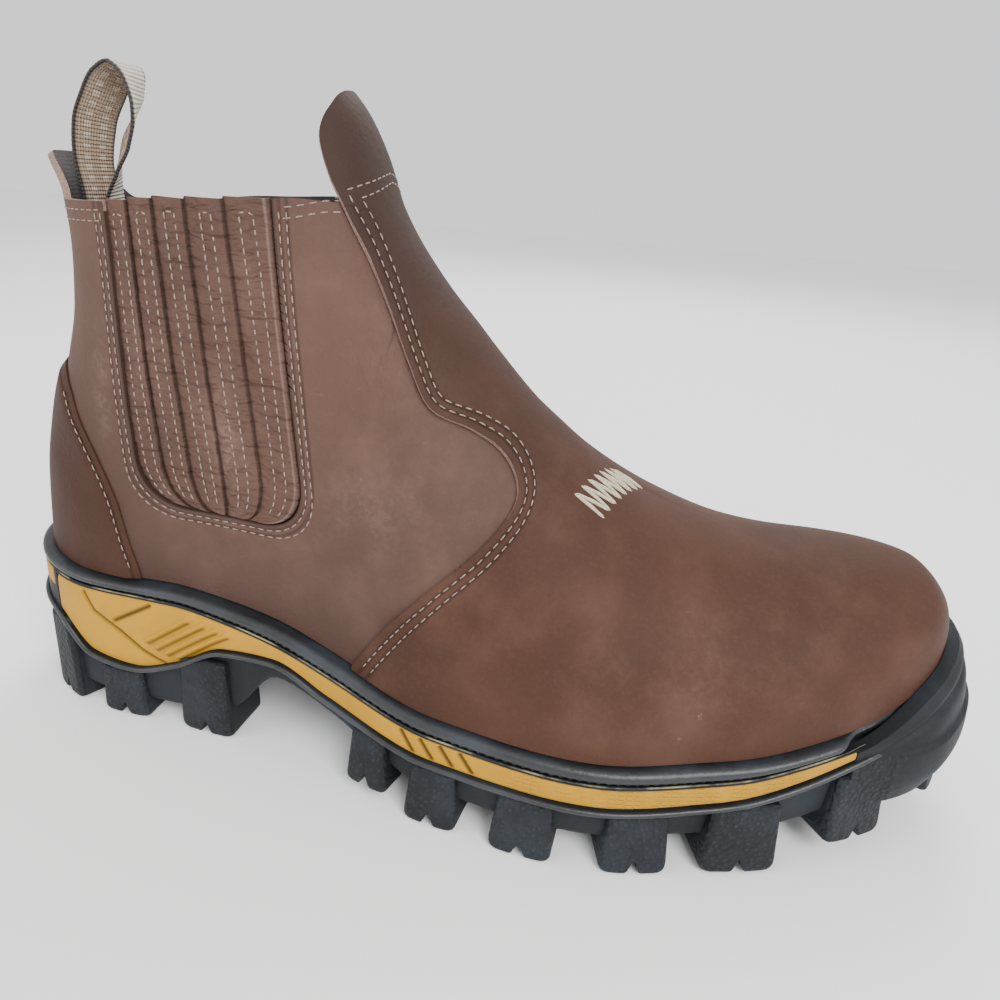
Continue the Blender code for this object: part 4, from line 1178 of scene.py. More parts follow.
class BOOT_OT_vamp(bpy.types.Operator):
    """Builds the vamp with its leaf-shaped tab over the front of the upper."""
    bl_idname = "boot.vamp"
    bl_label = "Vamp"

    def execute(self, context):
        line = flowing(VAMP_EDGE)
        ahead = 1.2 * SOLE_LENGTH  # well past the toe
        point, normal, kept = overlay_cut(0.18, line, [(ahead, line[-1][1]), (ahead, 0.0), (line[0][0], 0.0)])
        point[0, :, 2] = floor_height(point[0, :, 0])
        edge = nearest(point[..., 0], point[..., 2], line)[0]
        edge = np.where(point[..., 2] > TAB_FROM * COLLAR_HEIGHT, OFF_EDGE, edge / row_spread(point[..., 2]))
        outer = point + normal * (FIT + OVERLAY)
        inner = point + normal * FIT
        for face in (outer, inner):
            face[0, :, 2] = floor_height(face[0, :, 0])
        made = walled_sheet("vamp_leather", outer, inner, kept, {"edge": edge})
        # tab paints shade up the front tab
        nubuck = leather_finish("vamp_nubuck", leathers(), VAMP_ROWS, tab=0.8)
        add_materials(made, nubuck, lining_material(), edge_material())
        replace(made, "vamp")
        return {"FINISHED"}


class BOOT_OT_counter(bpy.types.Operator):
    """Builds the heel counter round the back of the upper."""
    bl_idname = "boot.counter"
    bl_label = "Counter"

    def execute(self, context):
        line = flowing(COUNTER_EDGE)
        point, normal, kept = overlay_cut(0.0, line, [(line[-1][0], 0.0), (line[0][0], 0.0)])
        edge = nearest(point[..., 0], point[..., 2], line)[0]
        rise = FIT + OVERLAY * smooth(edge / 0.006 + 0.25)
        outer = point + normal * rise[..., None]
        inner = point + normal * FIT * 0.7
        for face in (outer, inner):
            face[0, :, 2] = floor_height(face[0, :, 0])
        made = walled_sheet("counter_leather", outer, inner, kept, {"edge": edge})
        add_materials(made, leather_finish("counter_nubuck", leathers(), COUNTER_ROWS),
                      lining_material(), leather_finish("counter_edge", leathers()))
        replace(made, "counter")
        return {"FINISHED"}


# Pleats of a side panel: share across where each one ends in a step, at the collar and at the foot
PLEAT_ENDS = (0.155, 0.325, 0.525, 0.760, 1.000)


def pleat_depth(across):
    """Rise of the pleats across a panel: each grows from 0 to one step and drops at its end."""
    start, depth = 0.0, np.zeros_like(across)
    for end in PLEAT_ENDS:
        t = np.clip((across - start) / (end - start), 0.0, 1.0)
        within = (across >= start) & (across <= end)
        depth += np.where(within, PLEAT_STEP * t ** 0.7 * smooth((1.0 - t) / 0.05), 0.0)
        start = end
    return depth


def pleat_saw(across):
    """Slant of each pleat's top: 0.5 at its start and -0.5 at its end."""
    ends = np.concatenate([[0.0], PLEAT_ENDS])
    which = np.clip(np.searchsorted(ends, across, side="right") - 1, 0, len(PLEAT_ENDS) - 1)
    return 0.5 - (across - ends[which]) / (ends[which + 1] - ends[which])


class BOOT_OT_panels(bpy.types.Operator):
    """Builds both pleated side panels: each pleat rises across and drops in a small step."""
    bl_idname = "boot.panels"
    bl_label = "Side panels"

    def execute(self, context):
        finish = leather_finish("panel_leather", leathers(0.12), (), 1.8, 0.9, True)
        for side, name, node in ((-1.0, "panel_outer", "gusset_outer"), (1.0, "panel_inner", "gusset_inner")):
            across = np.linspace(0.0, 1.0, 240)
            up = np.linspace(0.0, 1.0, 130) ** 1.6
            foot = PANEL_FOOT * COLLAR_HEIGHT + FIT
            z = foot + (COLLAR_HEIGHT - foot) * up
            back, front = panel_edges(z[-1], FIT)
            saw = 0.0007 * pleat_saw(across) if side < 0 else 0.0
            rise = collar_z(back + (front - back) * across) - z[-1] + saw
            lift = np.clip((z - foot) / (z[-1] - foot) * 1.3 - 0.3, 0.0, 1.0)[:, None]
            z = z[:, None] + rise * lift
            back, front = panel_edges(z, FIT)
            x = back + (front - back) * across
            depth = np.broadcast_to(pleat_depth(across), x.shape)
            puff = np.sin(across * 31.0 + 1.3 * np.sin(z * 190.0)) * 0.00012
            ripple = np.sin(z * 900.0 + np.sin(across * 22.0) * 1.6) * 0.00007
            centre, half = side_shape(x, z)
            outer = np.stack([x, centre + side * (half - PLEAT_STEP + depth + puff + ripple), z], -1)
            inner = np.stack([x, centre + side * (half - WALL), z], -1)
            quads = grid_quads(*x.shape)
            if side > 0:
                quads = quads[..., ::-1]
            # Painted shade: a dark line at each pleat's step
            fold = sum(np.exp(-((x - back - (front - back) * end) / 0.00042) ** 2) for end in PLEAT_ENDS)
            pale = np.exp(-((x - back - (front - back) * 0.968) / 0.0003) ** 2)
            made = walled_sheet(name, outer, inner, quads, {"fold": fold, "pale": pale}, 50.0)
            add_materials(made, finish, lining_material(), edge_material())
            replace(made, node)
        return {"FINISHED"}


def sole_turn(count):
    """Shares and sides of a walk round the whole outline, close together at both ends."""
    turn = np.linspace(0.0, 2.0 * math.pi, count, endpoint=False)
    return (1.0 - np.cos(turn)) / 2.0, np.where(np.sin(turn) >= 0.0, -1.0, 1.0)


def sole_loop(count, inset, height):
    """Closed ring round the sole: inset and height are numbers or functions of the share."""
    share, side = sole_turn(count)
    inset_at = inset(share) if callable(inset) else np.full_like(share, inset)
    x, y = outline(share, side, inset_at)
    return np.stack([x, y, height(x / SOLE_LENGTH)], -1)


def capped_stack(rings):
    """Grid and quads of a closed solid from rings, both ends closed by strips across."""
    grid = np.stack(rings)
    rows, columns = grid.shape[:2]
    quads = grid_quads(rows, columns, closed=True).reshape(-1, 4)
    k = np.arange(1, columns // 2 - 1)
    caps = []
    for base in (0, (rows - 1) * columns):
        strip = np.stack([base + k, base + k + 1, base + columns - k - 1, base + columns - k], -1)
        first = np.array([[base, base + 1, base + columns - 1, base + columns - 1]])
        half = columns // 2
        last = np.array([[base + half - 1, base + half, base + half + 1, base + half + 1]])
        cap = np.concatenate([strip, first, last])
        caps.append(cap if base else cap[:, ::-1])
    return grid, np.concatenate([quads] + caps)


def cleaned(piece, sharp=35.0):
    """Merges doubled corners and turns all faces outwards."""
    work = bmesh.new()
    work.from_mesh(piece.data)
    bmesh.ops.remove_doubles(work, verts=work.verts, dist=1e-6)
    bmesh.ops.dissolve_degenerate(work, edges=work.edges, dist=1e-7)
    bmesh.ops.recalc_face_normals(work, faces=work.faces)
    work.to_mesh(piece.data)
    work.free()
    piece.data.shade_smooth()
    piece.data.set_sharp_from_angle(angle=math.radians(sharp))
    return piece


def lug_drop(share):
    """How far a side lug's top stays below the side band."""
    start, end = LUG_TOE_SPAN
    return LUG_DROP + LUG_TOE_DROP * float(smooth((share - start) / (end - start)))


def outline_frame(share, side):
    """Point of the outline with its directions along the edge and straight out of it."""
    if share in (0.0, 1.0):
        outward = np.array([2.0 * share - 1.0, 0.0])
        return np.array([share * SOLE_LENGTH, float(centre_line(share))]), np.array([0.0, 1.0]), outward
    x, y = outline(share + np.array([-0.01, 0.0, 0.01]), side)
    along = np.array([x[2] - x[0], y[2] - y[0]])
    along /= np.linalg.norm(along)
    return np.array([x[1], y[1]]), along, np.array([-along[1], along[0]]) * side


def rounded(corners, radii, steps=5):
    """Polygon with each corner turned into an arc, as a quadratic curve between its tangents."""
    corners = np.asarray(corners, float)
    before = np.roll(corners, 1, axis=0) - corners
    after = np.roll(corners, -1, axis=0) - corners
    length_b = np.linalg.norm(before, axis=1, keepdims=True)
    length_a = np.linalg.norm(after, axis=1, keepdims=True)
    reach = np.minimum(np.asarray(radii, float)[:, None], np.minimum(length_a, length_b) * 0.45)
    t = np.linspace(0.0, 1.0, steps)[None, :, None]
    start = (corners + before / length_b * reach)[:, None]
    end = (corners + after / length_a * reach)[:, None]
    line = (1 - t) ** 2 * start + 2 * t * (1 - t) * corners[:, None] + t ** 2 * end
    return line.reshape(-1, 2)


def lug_block(share, width, stand, side, group, index):
    """Side lug: rounded block with a notch under its middle, its edges turned in an arc."""
    at, along, outward = outline_frame(share, side)
    low = float(level(TREAD, share))
    high = float(level(BAND_LOW, share)) - lug_drop(share)
    foot = width / 2.0
    head = foot - LUG_TAPER
    corners = [(-foot, low), (-NOTCH_HALF, low), (0.0, low + NOTCH_HEIGHT), (NOTCH_HALF, low),
               (foot, low), (head, high), (-head, high)]
    shape = rounded(corners, (0.0034, 0.0007, 0.0004, 0.0007, 0.0034, 0.0012, 0.0012))
    middle = np.array([0.0, (low + high) / 2.0])
    bend = np.linspace(0.0, math.pi / 2.0, 6)
    profile = [(1.0 - math.cos(b), 1.0 - math.sin(b)) for b in bend]
    layers = [(-LUG_REACH, 0.0)] + [(-LUG_ROUND * back, LUG_ROUND * shrink) for shrink, back in profile]
    rings = []
    for out, shrink in layers:
        size = np.array([foot, (high - low) / 2.0])
        flat = middle + (shape - middle) * (1.0 - shrink / size)
        flat[:, 1] = np.maximum(flat[:, 1], low)
        tilt = stand * (1.0 - (flat[:, 1] - low) / (high - low))
        bulge = 0.0006 * (1.0 - (flat[:, 0] / foot) ** 2) if out > -LUG_ROUND else 0.0
        reach = out + (tilt + bulge if out > -LUG_REACH else 0.0)
        plan = at + along * flat[:, :1] + outward * np.reshape(reach, (-1, 1))
        rings.append(np.column_stack([plan, flat[:, 1]]))
    grid = np.stack(rings)
    return solid_cutter("lug_%d" % index, grid, group)


def solid_cutter(name, grid, group):
    """Closed solid from a stack of like rings, its ends closed by single faces."""
    rows, columns = grid.shape[:2]
    faces = [tuple(q) for q in grid_quads(rows, columns, closed=True).reshape(-1, 4).tolist()]
    faces.append(tuple(range(columns - 1, -1, -1)))
    faces.append(tuple(range((rows - 1) * columns, rows * columns)))
    mesh = bpy.data.meshes.new(name)
    mesh.from_pydata((grid.reshape(-1, 3) + PLACE).tolist(), [], faces)
    made = bpy.data.objects.new(name, mesh)
    group.objects.link(made)
    work = bmesh.new()
    work.from_mesh(mesh)
    bmesh.ops.recalc_face_normals(work, faces=work.faces)
    work.to_mesh(mesh)
    work.free()
    return made


def bar_block(share, half, group, index):
    """Chevron bar across the tread with softened lower edges."""
    x = share * SOLE_LENGTH
    y = float(centre_line(share))
    back, front = x - BAR_LENGTH / 2.0, x + BAR_LENGTH / 2.0
    plan = np.array([(back, y - half), (back + BAR_BEND, y), (back, y + half),
                     (front, y + half), (front + BAR_BEND, y), (front, y - half)])
    low = float(level(TREAD, share))
    high = float(level(UNDERSIDE, share)) + BAR_ROOT
    middle = plan.mean(0)
    rings = []
    for shrink, z in ((0.10, low), (0.03, low + 0.0004), (0.0, low + 0.0012), (0.0, high)):
        flat = middle + (plan - middle) * (1.0 - shrink)
        rings.append(np.column_stack([flat, np.full(len(flat), z)]))
    return solid_cutter("bar_%d" % index, np.stack(rings), group)


def bumper_grid(columns=120, rows=56):
    """Toe bumper: bulging band round the toe, a wavy step at its ends, a low step and a rolled top edge."""
    turn = np.linspace(-1.0, 1.0, columns)
    share = 1.0 - (1.0 - BUMPER_FROM) * (1.0 - np.cos(turn * math.pi / 2.0))
    grow = smooth((share - BUMPER_FROM) / BUMPER_CURVE)
    up = np.linspace(0.0, 1.0, rows)[:, None]
    low = level(UNDERSIDE, share) + RIM
    top = level(BAND_TOP, share) - RIM
    high = top + (level(WELT_TOP, share) - top) * grow
    z = low + (high - low) * up
    stand = curve(BUMPER, 1, up)
    side = np.sign(turn)
    side[side == 0] = 1.0
    edge = BUMPER_STEP_AT[1] + (share - BUMPER_STEP_AT[0]) * BUMPER_STEP_RISE
    proud = BUMPER_STEP_PROUD * smooth((edge - z) / 0.0010) * smooth((share - BUMPER_STEP_FROM) / 0.010)
    roll = 0.0006 * np.exp(-((up - 0.93) / 0.045) ** 2) - 0.0010 * np.exp(-((up - 0.845) / 0.028) ** 2)
    x, y = outline(share, side, -(stand + proud + roll) * grow)
    outer = np.stack([x, y, z], -1)
    x, y = outline(share, side, BUMPER_DEPTH)
    inner = np.stack([np.broadcast_to(x, z.shape), np.broadcast_to(y, z.shape), z], -1)
    return outer, inner


def sole_blocks():
    """Collection of everything that is joined to the sole's side wall: lugs, bars and bumper."""
    group = bpy.data.collections.new("sole_blocks")
    lugs = [(share, width, stand, side) for share, width, stand in LUGS for side in (-1.0, 1.0)]
    lugs += [(0.0, END_LUG_WIDTH, BACK_LUG_OUT, 1.0), (1.0, END_LUG_WIDTH, FRONT_LUG_OUT, 1.0)]
    for index, (share, width, stand, side) in enumerate(lugs):
        lug_block(share, width, stand, side, group, index)
    for index, (share, half) in enumerate(BARS, len(lugs)):
        bar_block(share, half, group, index)
    outer, inner = bumper_grid()
    bumper = cleaned(walled_sheet("bumper", outer, inner, grid_quads(*outer.shape[:2])))
    bpy.context.scene.collection.objects.unlink(bumper)
    group.objects.link(bumper)
    bpy.context.scene.collection.children.link(group)
    return group


def join_blocks(sole, group):
    """Unites the sole with every block of a collection and removes the blocks."""
    union = sole.modifiers.new("blocks", "BOOLEAN")
    union.operation = "UNION"
    union.solver = "EXACT"
    union.operand_type = "COLLECTION"
    union.collection = group
    graph = bpy.context.evaluated_depsgraph_get()
    mesh = bpy.data.meshes.new_from_object(sole.evaluated_get(graph))
    sole.modifiers.clear()
    sole.data = mesh
    for block in list(group.objects):
        bpy.data.objects.remove(block, do_unlink=True)
    bpy.data.collections.remove(group)
    mesh.name = "sole_rubber"
    mesh.materials.clear()


def mark_pebbles(mesh):
    """Attribute that is 1 on the outer faces of the lugs, where the rubber is pebbled."""
    place = np.empty(len(mesh.vertices) * 3)
    mesh.vertices.foreach_get("co", place)
    x, y, z = (place.reshape(-1, 3) - PLACE).T
    share = np.clip(x / SOLE_LENGTH, 0.0, 1.0)
    face = np.abs(y - centre_line(share)) > half_width(share) - 0.0012
    ends = (x < 0.0015) | (x > SOLE_LENGTH - 0.001)
    low = z < level(BAND_LOW, share) - LUG_DROP * 0.6
    off_bumper = (share < 0.93) | (z < 0.020)
    layer = mesh.attributes.new("pebble", "FLOAT", "POINT")
    layer.data.foreach_set("value", ((face | ends) & low & off_bumper).astype(np.float32))


class BOOT_OT_sole(bpy.types.Operator):
    """Builds the outsole: side wall with its rims, rounded lugs, tread bars and toe bumper."""
    bl_idname = "boot.sole"
    bl_label = "Outsole"

    def execute(self, context):
        top = lambda s: level(BAND_TOP, s)
        rim = lambda s: level(BAND_LOW, s)
        under = lambda s: level(UNDERSIDE, s)
        in_band = lambda s: smooth((s - BAND_SPAN[0]) / 0.004) * smooth((BAND_SPAN[1] - s) / 0.012)
        deep = lambda s: RIM / 2.0 + (BAND_DEPTH - RIM / 2.0 + FIT) * in_band(s)
        count = 300
        rings = [
            sole_loop(count, UNDERCUT + 0.0040, under),
            sole_loop(count, UNDERCUT + 0.0018, lambda s: under(s) + 0.0006),
            sole_loop(count, UNDERCUT + 0.0005, lambda s: under(s) + 0.0018),
            sole_loop(count, UNDERCUT, lambda s: under(s) + 0.003),
            sole_loop(count, UNDERCUT, lambda s: rim(s) - LUG_DROP),
            sole_loop(count, 0.0004, lambda s: rim(s) - RIM * 1.1),
            sole_loop(count, 0.0, lambda s: rim(s) - RIM * 0.7),
            sole_loop(count, 0.0002, lambda s: rim(s) - RIM * 0.1),
            sole_loop(count, deep, lambda s: rim(s)),
            sole_loop(count, deep, lambda s: np.maximum(top(s) - RIM, rim(s) + RIM * 0.5)),
            sole_loop(count, RIM / 2.0, lambda s: np.maximum(top(s) - RIM * 0.9, rim(s) + RIM * 0.6)),
            sole_loop(count, RIM * 0.6, lambda s: top(s) - RIM * 0.3),
            sole_loop(count, RIM * 1.5, lambda s: top(s) - FIT),
        ]
        grid, faces = capped_stack(rings)
        sole = cleaned(mesh_object("sole_rubber", grid, faces))
        join_blocks(sole, sole_blocks())
        mark_pebbles(sole.data)
        sole.data.shade_smooth()
        sole.data.set_sharp_from_angle(angle=math.radians(38))
        tone = settings()[0]
        rubber = rubber_finish("black_rubber", tuple(tone.rubber), tuple(tone.rubber_dust), 0.6, 1.0, 0.5,
                               tuple(tone.ochre))
        add_materials(sole, rubber)
        replace(sole, "outsole")
        return {"FINISHED"}


def bumper_step(share):
    """How far the welt steps in behind the toe bumper."""
    return (BUMPER_DEPTH + FIT) * smooth((share - BUMPER_FROM) / BUMPER_EASE + 2.0 / 3.0)


def welt_loop(height, inset, part):
    """One line of the welt's section round the boot, stepped in behind the toe bumper."""
    def at_height(share):
        low = level(BAND_TOP, share) + FIT
        return low + (level(WELT_TOP, share) - low) * height

    return sole_loop(420, lambda s: inset + bumper_step(s) * part, at_height)


class BOOT_OT_welt(bpy.types.Operator):
    """Builds the rounded welt bead with the stitch groove under it."""
    bl_idname = "boot.welt"
    bl_label = "Welt"

    def execute(self, context):
        lines = [welt_loop(0.0, WELT_SEAT, 0.0)]
        lines += [welt_loop(*row) for row in WELT_SECTION]
        lines.append(welt_loop(1.0, WELT_SEAT, 0.0))
        grid = np.stack(lines)
        rows, columns = grid.shape[:2]
        quads = grid_quads(rows, columns, closed=True).reshape(-1, 4)
        bottom = np.arange(columns)
        top = bottom + (rows - 1) * columns
        seam = np.stack([np.roll(bottom, -1), bottom, top, np.roll(top, -1)], -1)
        tone = settings()[0]
        made = mesh_object("welt_bead", grid, np.concatenate([quads, seam]), None, 50.0)
        rubber = rubber_finish("welt_rubber", tuple(tone.rubber), tuple(tone.rubber_dust), 0.8, 0.0, 0.3)
        add_materials(made, rubber)
        replace(made, "welt")
        return {"FINISHED"}


# Relief of the side band: points as shares of sole length and band height, half width, and
# height in metres, below zero for a groove
BAND_MARKS = (
    (((0.094, 0.93), (0.106, 0.68), (0.136, 0.49), (0.162, 0.25), (0.186, 0.02)), 0.0006, -0.0009),
    (((0.174, 0.93), (0.131, 0.62)), 0.0007, -0.0010),
    (((0.172, 0.42), (0.222, 0.84)), 0.0011, 0.0017),
    (((0.183, 0.31), (0.240, 0.80)), 0.0011, 0.0017),
    (((0.195, 0.20), (0.255, 0.74)), 0.0011, 0.0017),
    (((0.207, 0.10), (0.268, 0.68)), 0.0011, 0.0017),
) + tuple((((at, 0.86), (at + 0.012, 0.14)), 0.0007, -0.0009) for at in (0.466, 0.486, 0.506, 0.526))


def band_height(share, up):
    """Height of a place on the side band."""
    low = level(BAND_LOW, share)
    return low + (level(BAND_TOP, share) - low) * up


def band_relief(share, up):
    """Relief of the side band in metres, and how much painted shade each place of it gets: in the grooves and
    under the raised ribs.
    """
    height = np.zeros_like(share)
    hollow = np.zeros_like(share)
    x = share * SOLE_LENGTH
    z = band_height(share, up)
    for points, width, rise in BAND_MARKS:
        at, above = np.array(points).T
        line = np.stack([at * SOLE_LENGTH, band_height(at, above)], 1)
        bell = np.exp(-(nearest(x, z, line)[0] / width) ** 2)
        height += rise * bell
        if rise < 0:
            # Painted shade in each groove
            hollow += 1.3 * bell
        else:
            # Painted shadow under each raised rib
            below = nearest(x, z + 1.45 * width, line)[0]
            hollow += 0.8 * np.exp(-(below / (0.5 * width)) ** 2)
    return height, np.clip(hollow, 0.0, 1.0)


class BOOT_OT_bands(bpy.types.Operator):
    """Builds the ochre bands with their moulded relief."""
    bl_idname = "boot.bands"
    bl_label = "Side bands"

    def execute(self, context):
        tone = tuple(settings()[0].ochre)
        light = tuple(min(c, 1.0) for c in shade(tone, 1.18))
        # Dark tone of the painted shade in the band's relief
        dirt_and_shade = shade(tone, 0.22)
        finish = ochre_finish("ochre_rubber", dirt_and_shade, tone, light)
        self.side_band("band_outer_rubber", "band_outer", -1.0, finish)
        self.side_band("band_inner_rubber", "band_inner", 1.0, finish)
        self.back_band(finish)
        return {"FINISHED"}

    def side_band(self, name, node, side, finish):
        """Band in the recess of one side, with rounded edges and the relief on its face."""
        share = np.linspace(BAND_SPAN[0], BAND_SPAN[1] - BAND_PLAY, BAND_GRID[0])[None]
        up = np.linspace(0.0, 1.0, BAND_GRID[1])[:, None]
        share, up = np.broadcast_arrays(share, up)
        low = level(BAND_LOW, share) + FIT
        high = np.maximum(level(BAND_TOP, share) - RIM - FIT, low + RIM)
        height, hollow = band_relief(share, up)
        round_off = 0.0005 * (np.exp(-up / 0.06) + np.exp(-(1.0 - up) / 0.06))
        grids = []
        for inset in (RIM / 2.0 - height * 0.8 + round_off, np.full_like(share, BAND_DEPTH)):
            x, y = outline(share, side, inset)
            grids.append(np.stack([x, y, low + (high - low) * up], -1))
        quads = grid_quads(*share.shape)
        if side > 0:
            quads = quads[..., ::-1]
        leafy = smooth((share - LEAFY_SPAN[0]) / 0.04) * smooth((LEAFY_SPAN[1] - share) / 0.04)
        made = walled_sheet(name, grids[0], grids[1], quads, {"hollow": hollow, "leafy": leafy}, 50.0)
        add_materials(made, finish, finish, finish)
        replace(made, node)

    def back_band(self, finish):
        """Short plain band round the back of the heel."""
        turn = np.linspace(-1.0, 1.0, 60)
        share = BAND_BACK_REACH * (1.0 - np.cos(turn * math.pi / 2.0))
        up = np.linspace(0.0, 1.0, 10)[:, None]
        share, up = np.broadcast_arrays(share[None], up)
        side = np.broadcast_to(np.where(turn < 0, -1.0, 1.0), share.shape)
        bottom = BAND_BACK_LEVELS[0] * HEEL_HEIGHT
        top = BAND_BACK_LEVELS[1] * HEEL_HEIGHT - RIM
        round_off = 0.0004 * (np.exp(-up / 0.1) + np.exp(-(1.0 - up) / 0.1))
        grids = []
        for inset in (RIM / 2.0 + round_off, BAND_DEPTH / 2.0):
            x, y = outline(share, side, inset)
            grids.append(np.stack([x, y, bottom + (top - bottom) * up], -1))
        plain = {"hollow": np.zeros_like(share), "leafy": np.zeros_like(share)}
        quads = grid_quads(*share.shape)[..., ::-1]
        made = cleaned(walled_sheet("band_back_rubber", grids[0], grids[1], quads, plain, 50.0))
        add_materials(made, finish, finish, finish)
        replace(made, "band_back")


class BOOT_OT_insole(bpy.types.Operator):
    """Builds the footbed: softly dished cloth on the insole's own outline."""
    bl_idname = "boot.insole"
    bl_label = "Insole"

    def execute(self, context):
        edge = foot_inset() + WALL + INSOLE_PLAY
        well = WELT_SEAT + FIT
        low = lambda s: level(BAND_TOP, s) + LONG_FIT
        seat = lambda s: level(WELT_TOP, s) + LONG_FIT
        count = 200
        rings = [
            sole_loop(count, well, low),
            sole_loop(count, well, seat),
            sole_loop(count, edge, seat),
            sole_loop(count, edge, lambda s: seat(s) + INSOLE_THICKNESS * 0.7),
            sole_loop(count, edge + 0.0006, lambda s: seat(s) + INSOLE_THICKNESS * 0.93),
            sole_loop(count, edge + 0.0018, lambda s: seat(s) + INSOLE_THICKNESS),
            sole_loop(count, edge + 0.0100, lambda s: seat(s) + INSOLE_THICKNESS * 0.7),
        ]
        grid, faces = capped_stack(rings)
        made = cleaned(mesh_object("footbed", grid, faces))
        add_materials(made, lining_finish((0.06, 0.05, 0.045)))
        replace(made, "insole")
        return {"FINISHED"}


class BOOT_OT_loop(bpy.types.Operator):
    """Builds the webbing pull loop as a ribbed strip swept along its middle line."""
    bl_idname = "boot.loop"
    bl_label = "Pull loop"

    def execute(self, context):
        steps, across = 220, 15
        knots = np.linspace(0.0, 1.0, len(LOOP_PATH))
        table = np.column_stack([knots, LOOP_PATH])
        at = np.linspace(0.0, 1.0, steps)
        x = float(back_x(COLLAR_HEIGHT)) + curve(table, 1, at)
        z = COLLAR_HEIGHT + curve(table, 2, at)
        turn = np.radians(curve(table, 3, at))
        middle = np.stack([x, np.zeros(steps), z], 1)
        length = run_along(middle)
        along = unit(np.gradient(middle, axis=0))
        width = np.stack([np.sin(turn), np.cos(turn), np.zeros(steps)], 1)
        width = unit(width - along * (width * along).sum(1, keepdims=True))
        out = np.cross(along, width)
        place = np.linspace(-0.5, 0.5, across)
        thick = LOOP_THICKNESS * (0.5 - 0.3 * (np.abs(place) > 0.47))
        flat = middle[:, None] + width[:, None] * (place * LOOP_WIDTH)[None, :, None]
        rib = 0.00006 * np.sin(length * 2.0 * math.pi / RIB_PITCH)[:, None]
        outer = flat + out[:, None] * (thick[None] + rib)[..., None]
        inner = flat - out[:, None] * (thick[None] + rib)[..., None]
        made = walled_sheet("pull_webbing", outer, inner, grid_quads(steps, across)[..., ::-1], None, 60.0)
        mesh = made.data
        uv = np.stack(np.broadcast_arrays(length[:, None], place[None] + 0.5), -1).reshape(-1, 2)
        uv = np.concatenate([uv, uv])
        index = np.empty(len(mesh.loops), np.int32)
        mesh.loops.foreach_get("vertex_index", index)
        layer = mesh.uv_layers.new(name="UVMap")
        layer.data.foreach_set("uv", uv[index].ravel())
        tone = tuple(settings()[0].webbing)
        selvedge = (0.035, 0.028, 0.025)
        tan = webbing_finish("loop_webbing", tone, (0.50, 0.43, 0.35), selvedge)
        pale = webbing_finish("loop_backing", (0.50, 0.45, 0.38), (0.58, 0.53, 0.46), selvedge)
        add_materials(made, pale, tan, tan)
        replace(made, "pull_loop")
        return {"FINISHED"}


def surface_point(x, z, side, lift=0.0):
    """Point of the creased outer face at a side-view place, raised by lift, and its normal."""
    def place(at_x, at_z):
        centre, half = side_shape(at_x, at_z)
        return np.stack([at_x, centre + side * half, at_z], -1)

    step = 0.0004
    along = place(x + step, z) - place(x - step, z)
    above = place(x, z + step) - place(x, z - step)
    normal = unit(np.cross(along, above) * -side)
    rise = np.asarray(lift - crease_depth(x, z, side))[..., None]
    return place(x, z) + normal * rise, normal


def beside(line, away):
    """Side-view line moved to its right by a distance."""
    along = unit(np.gradient(line, axis=0))
    return line + np.stack([along[:, 1], -along[:, 0]], 1) * away


def along_path(path, run, at):
    """Values of a path's columns at given distances from its start."""
    return np.stack([np.interp(at, run, column) for column in path.T], 1)


def stitch_row(name, paths, finish, slot, length=None, gap=None, thick=None):
    """Stitches along paths of points and normals: six-sided capsules half sunk into the surface."""
    around = 6
    size = settings()[1]
    gap = gap or size.stitch
    length = length or gap * 0.68
    thick = thick or size.thread
    middle, axis, up = [], [], []
    for points, normals in paths:
        run = run_along(points)
        count = max(int(run[-1] / gap), 1)
        at = (np.arange(count) + 0.5) * run[-1] / count
        a, b = along_path(points, run, at - length / 2.0), along_path(points, run, at + length / 2.0)
        middle.append((a + b) / 2.0)
        axis.append((b - a) / 2.0)
        up.append(along_path(normals, run, at))
    middle, axis, up = (np.concatenate(v)[:, None, None] for v in (middle, axis, up))
    cross = unit(np.cross(axis, up))
    rings = np.array([(-1.0, 0.30), (-0.80, 0.78), (0.0, 1.0), (0.80, 0.78), (1.0, 0.30)])
    turn = np.linspace(0.0, 2.0 * math.pi, around, endpoint=False)
    t, radius = rings[:, 0][None, :, None, None], rings[:, 1][None, :, None, None] * thick / 2.0
    c, s = np.cos(turn)[None, None, :, None], np.sin(turn)[None, None, :, None]
    arch = (1.0 - t ** 2) * thick * 0.35
    point = middle + axis * t + up * (arch - thick * 0.16 + c * radius * 0.8) + cross * s * radius
    quads = grid_quads(len(rings), around, closed=True).reshape(-1, 4)
    last = (len(rings) - 1) * around
    caps = np.array([(3, 2, 1, 0), (5, 4, 3, 0), (last, last + 1, last + 2, last + 3),
                     (last, last + 3, last + 4, last + 5)])
    faces = np.concatenate([quads, caps])
    every = np.arange(len(middle))[:, None, None] * len(rings) * around
    made = mesh_object(name, point, (faces[None] + every).reshape(-1, 4), None, 0)
    add_materials(made, finish)
    ride(made)


def side_path(line, side, lift):
    """Points and normals of a side-view line on one side of the upper."""
    return surface_point(line[:, 0], line[:, 1], side, lift)


def dense(line, step=0.0008):
    """The same line with points at even small steps."""
    run = run_along(line)
    return along_path(line, run, np.linspace(0.0, run[-1], max(int(run[-1] / step), 2)))


def front_path(ring, reach, rise, lift):
    """Path across the front of the shaft, from reach on one side to reach on the other, rising between."""
    turn = math.pi + np.linspace(-reach, reach, 60)
    ring = ring + rise * (1.0 - np.abs(turn - math.pi) / reach)
    step = 0.01
    across = upper_point(ring, turn + step) - upper_point(ring, turn - step)
    above = upper_point(ring + step, turn) - upper_point(ring - step, turn)
    normal = unit(np.cross(across, above))
    return upper_point(ring, turn) + normal * lift, normal


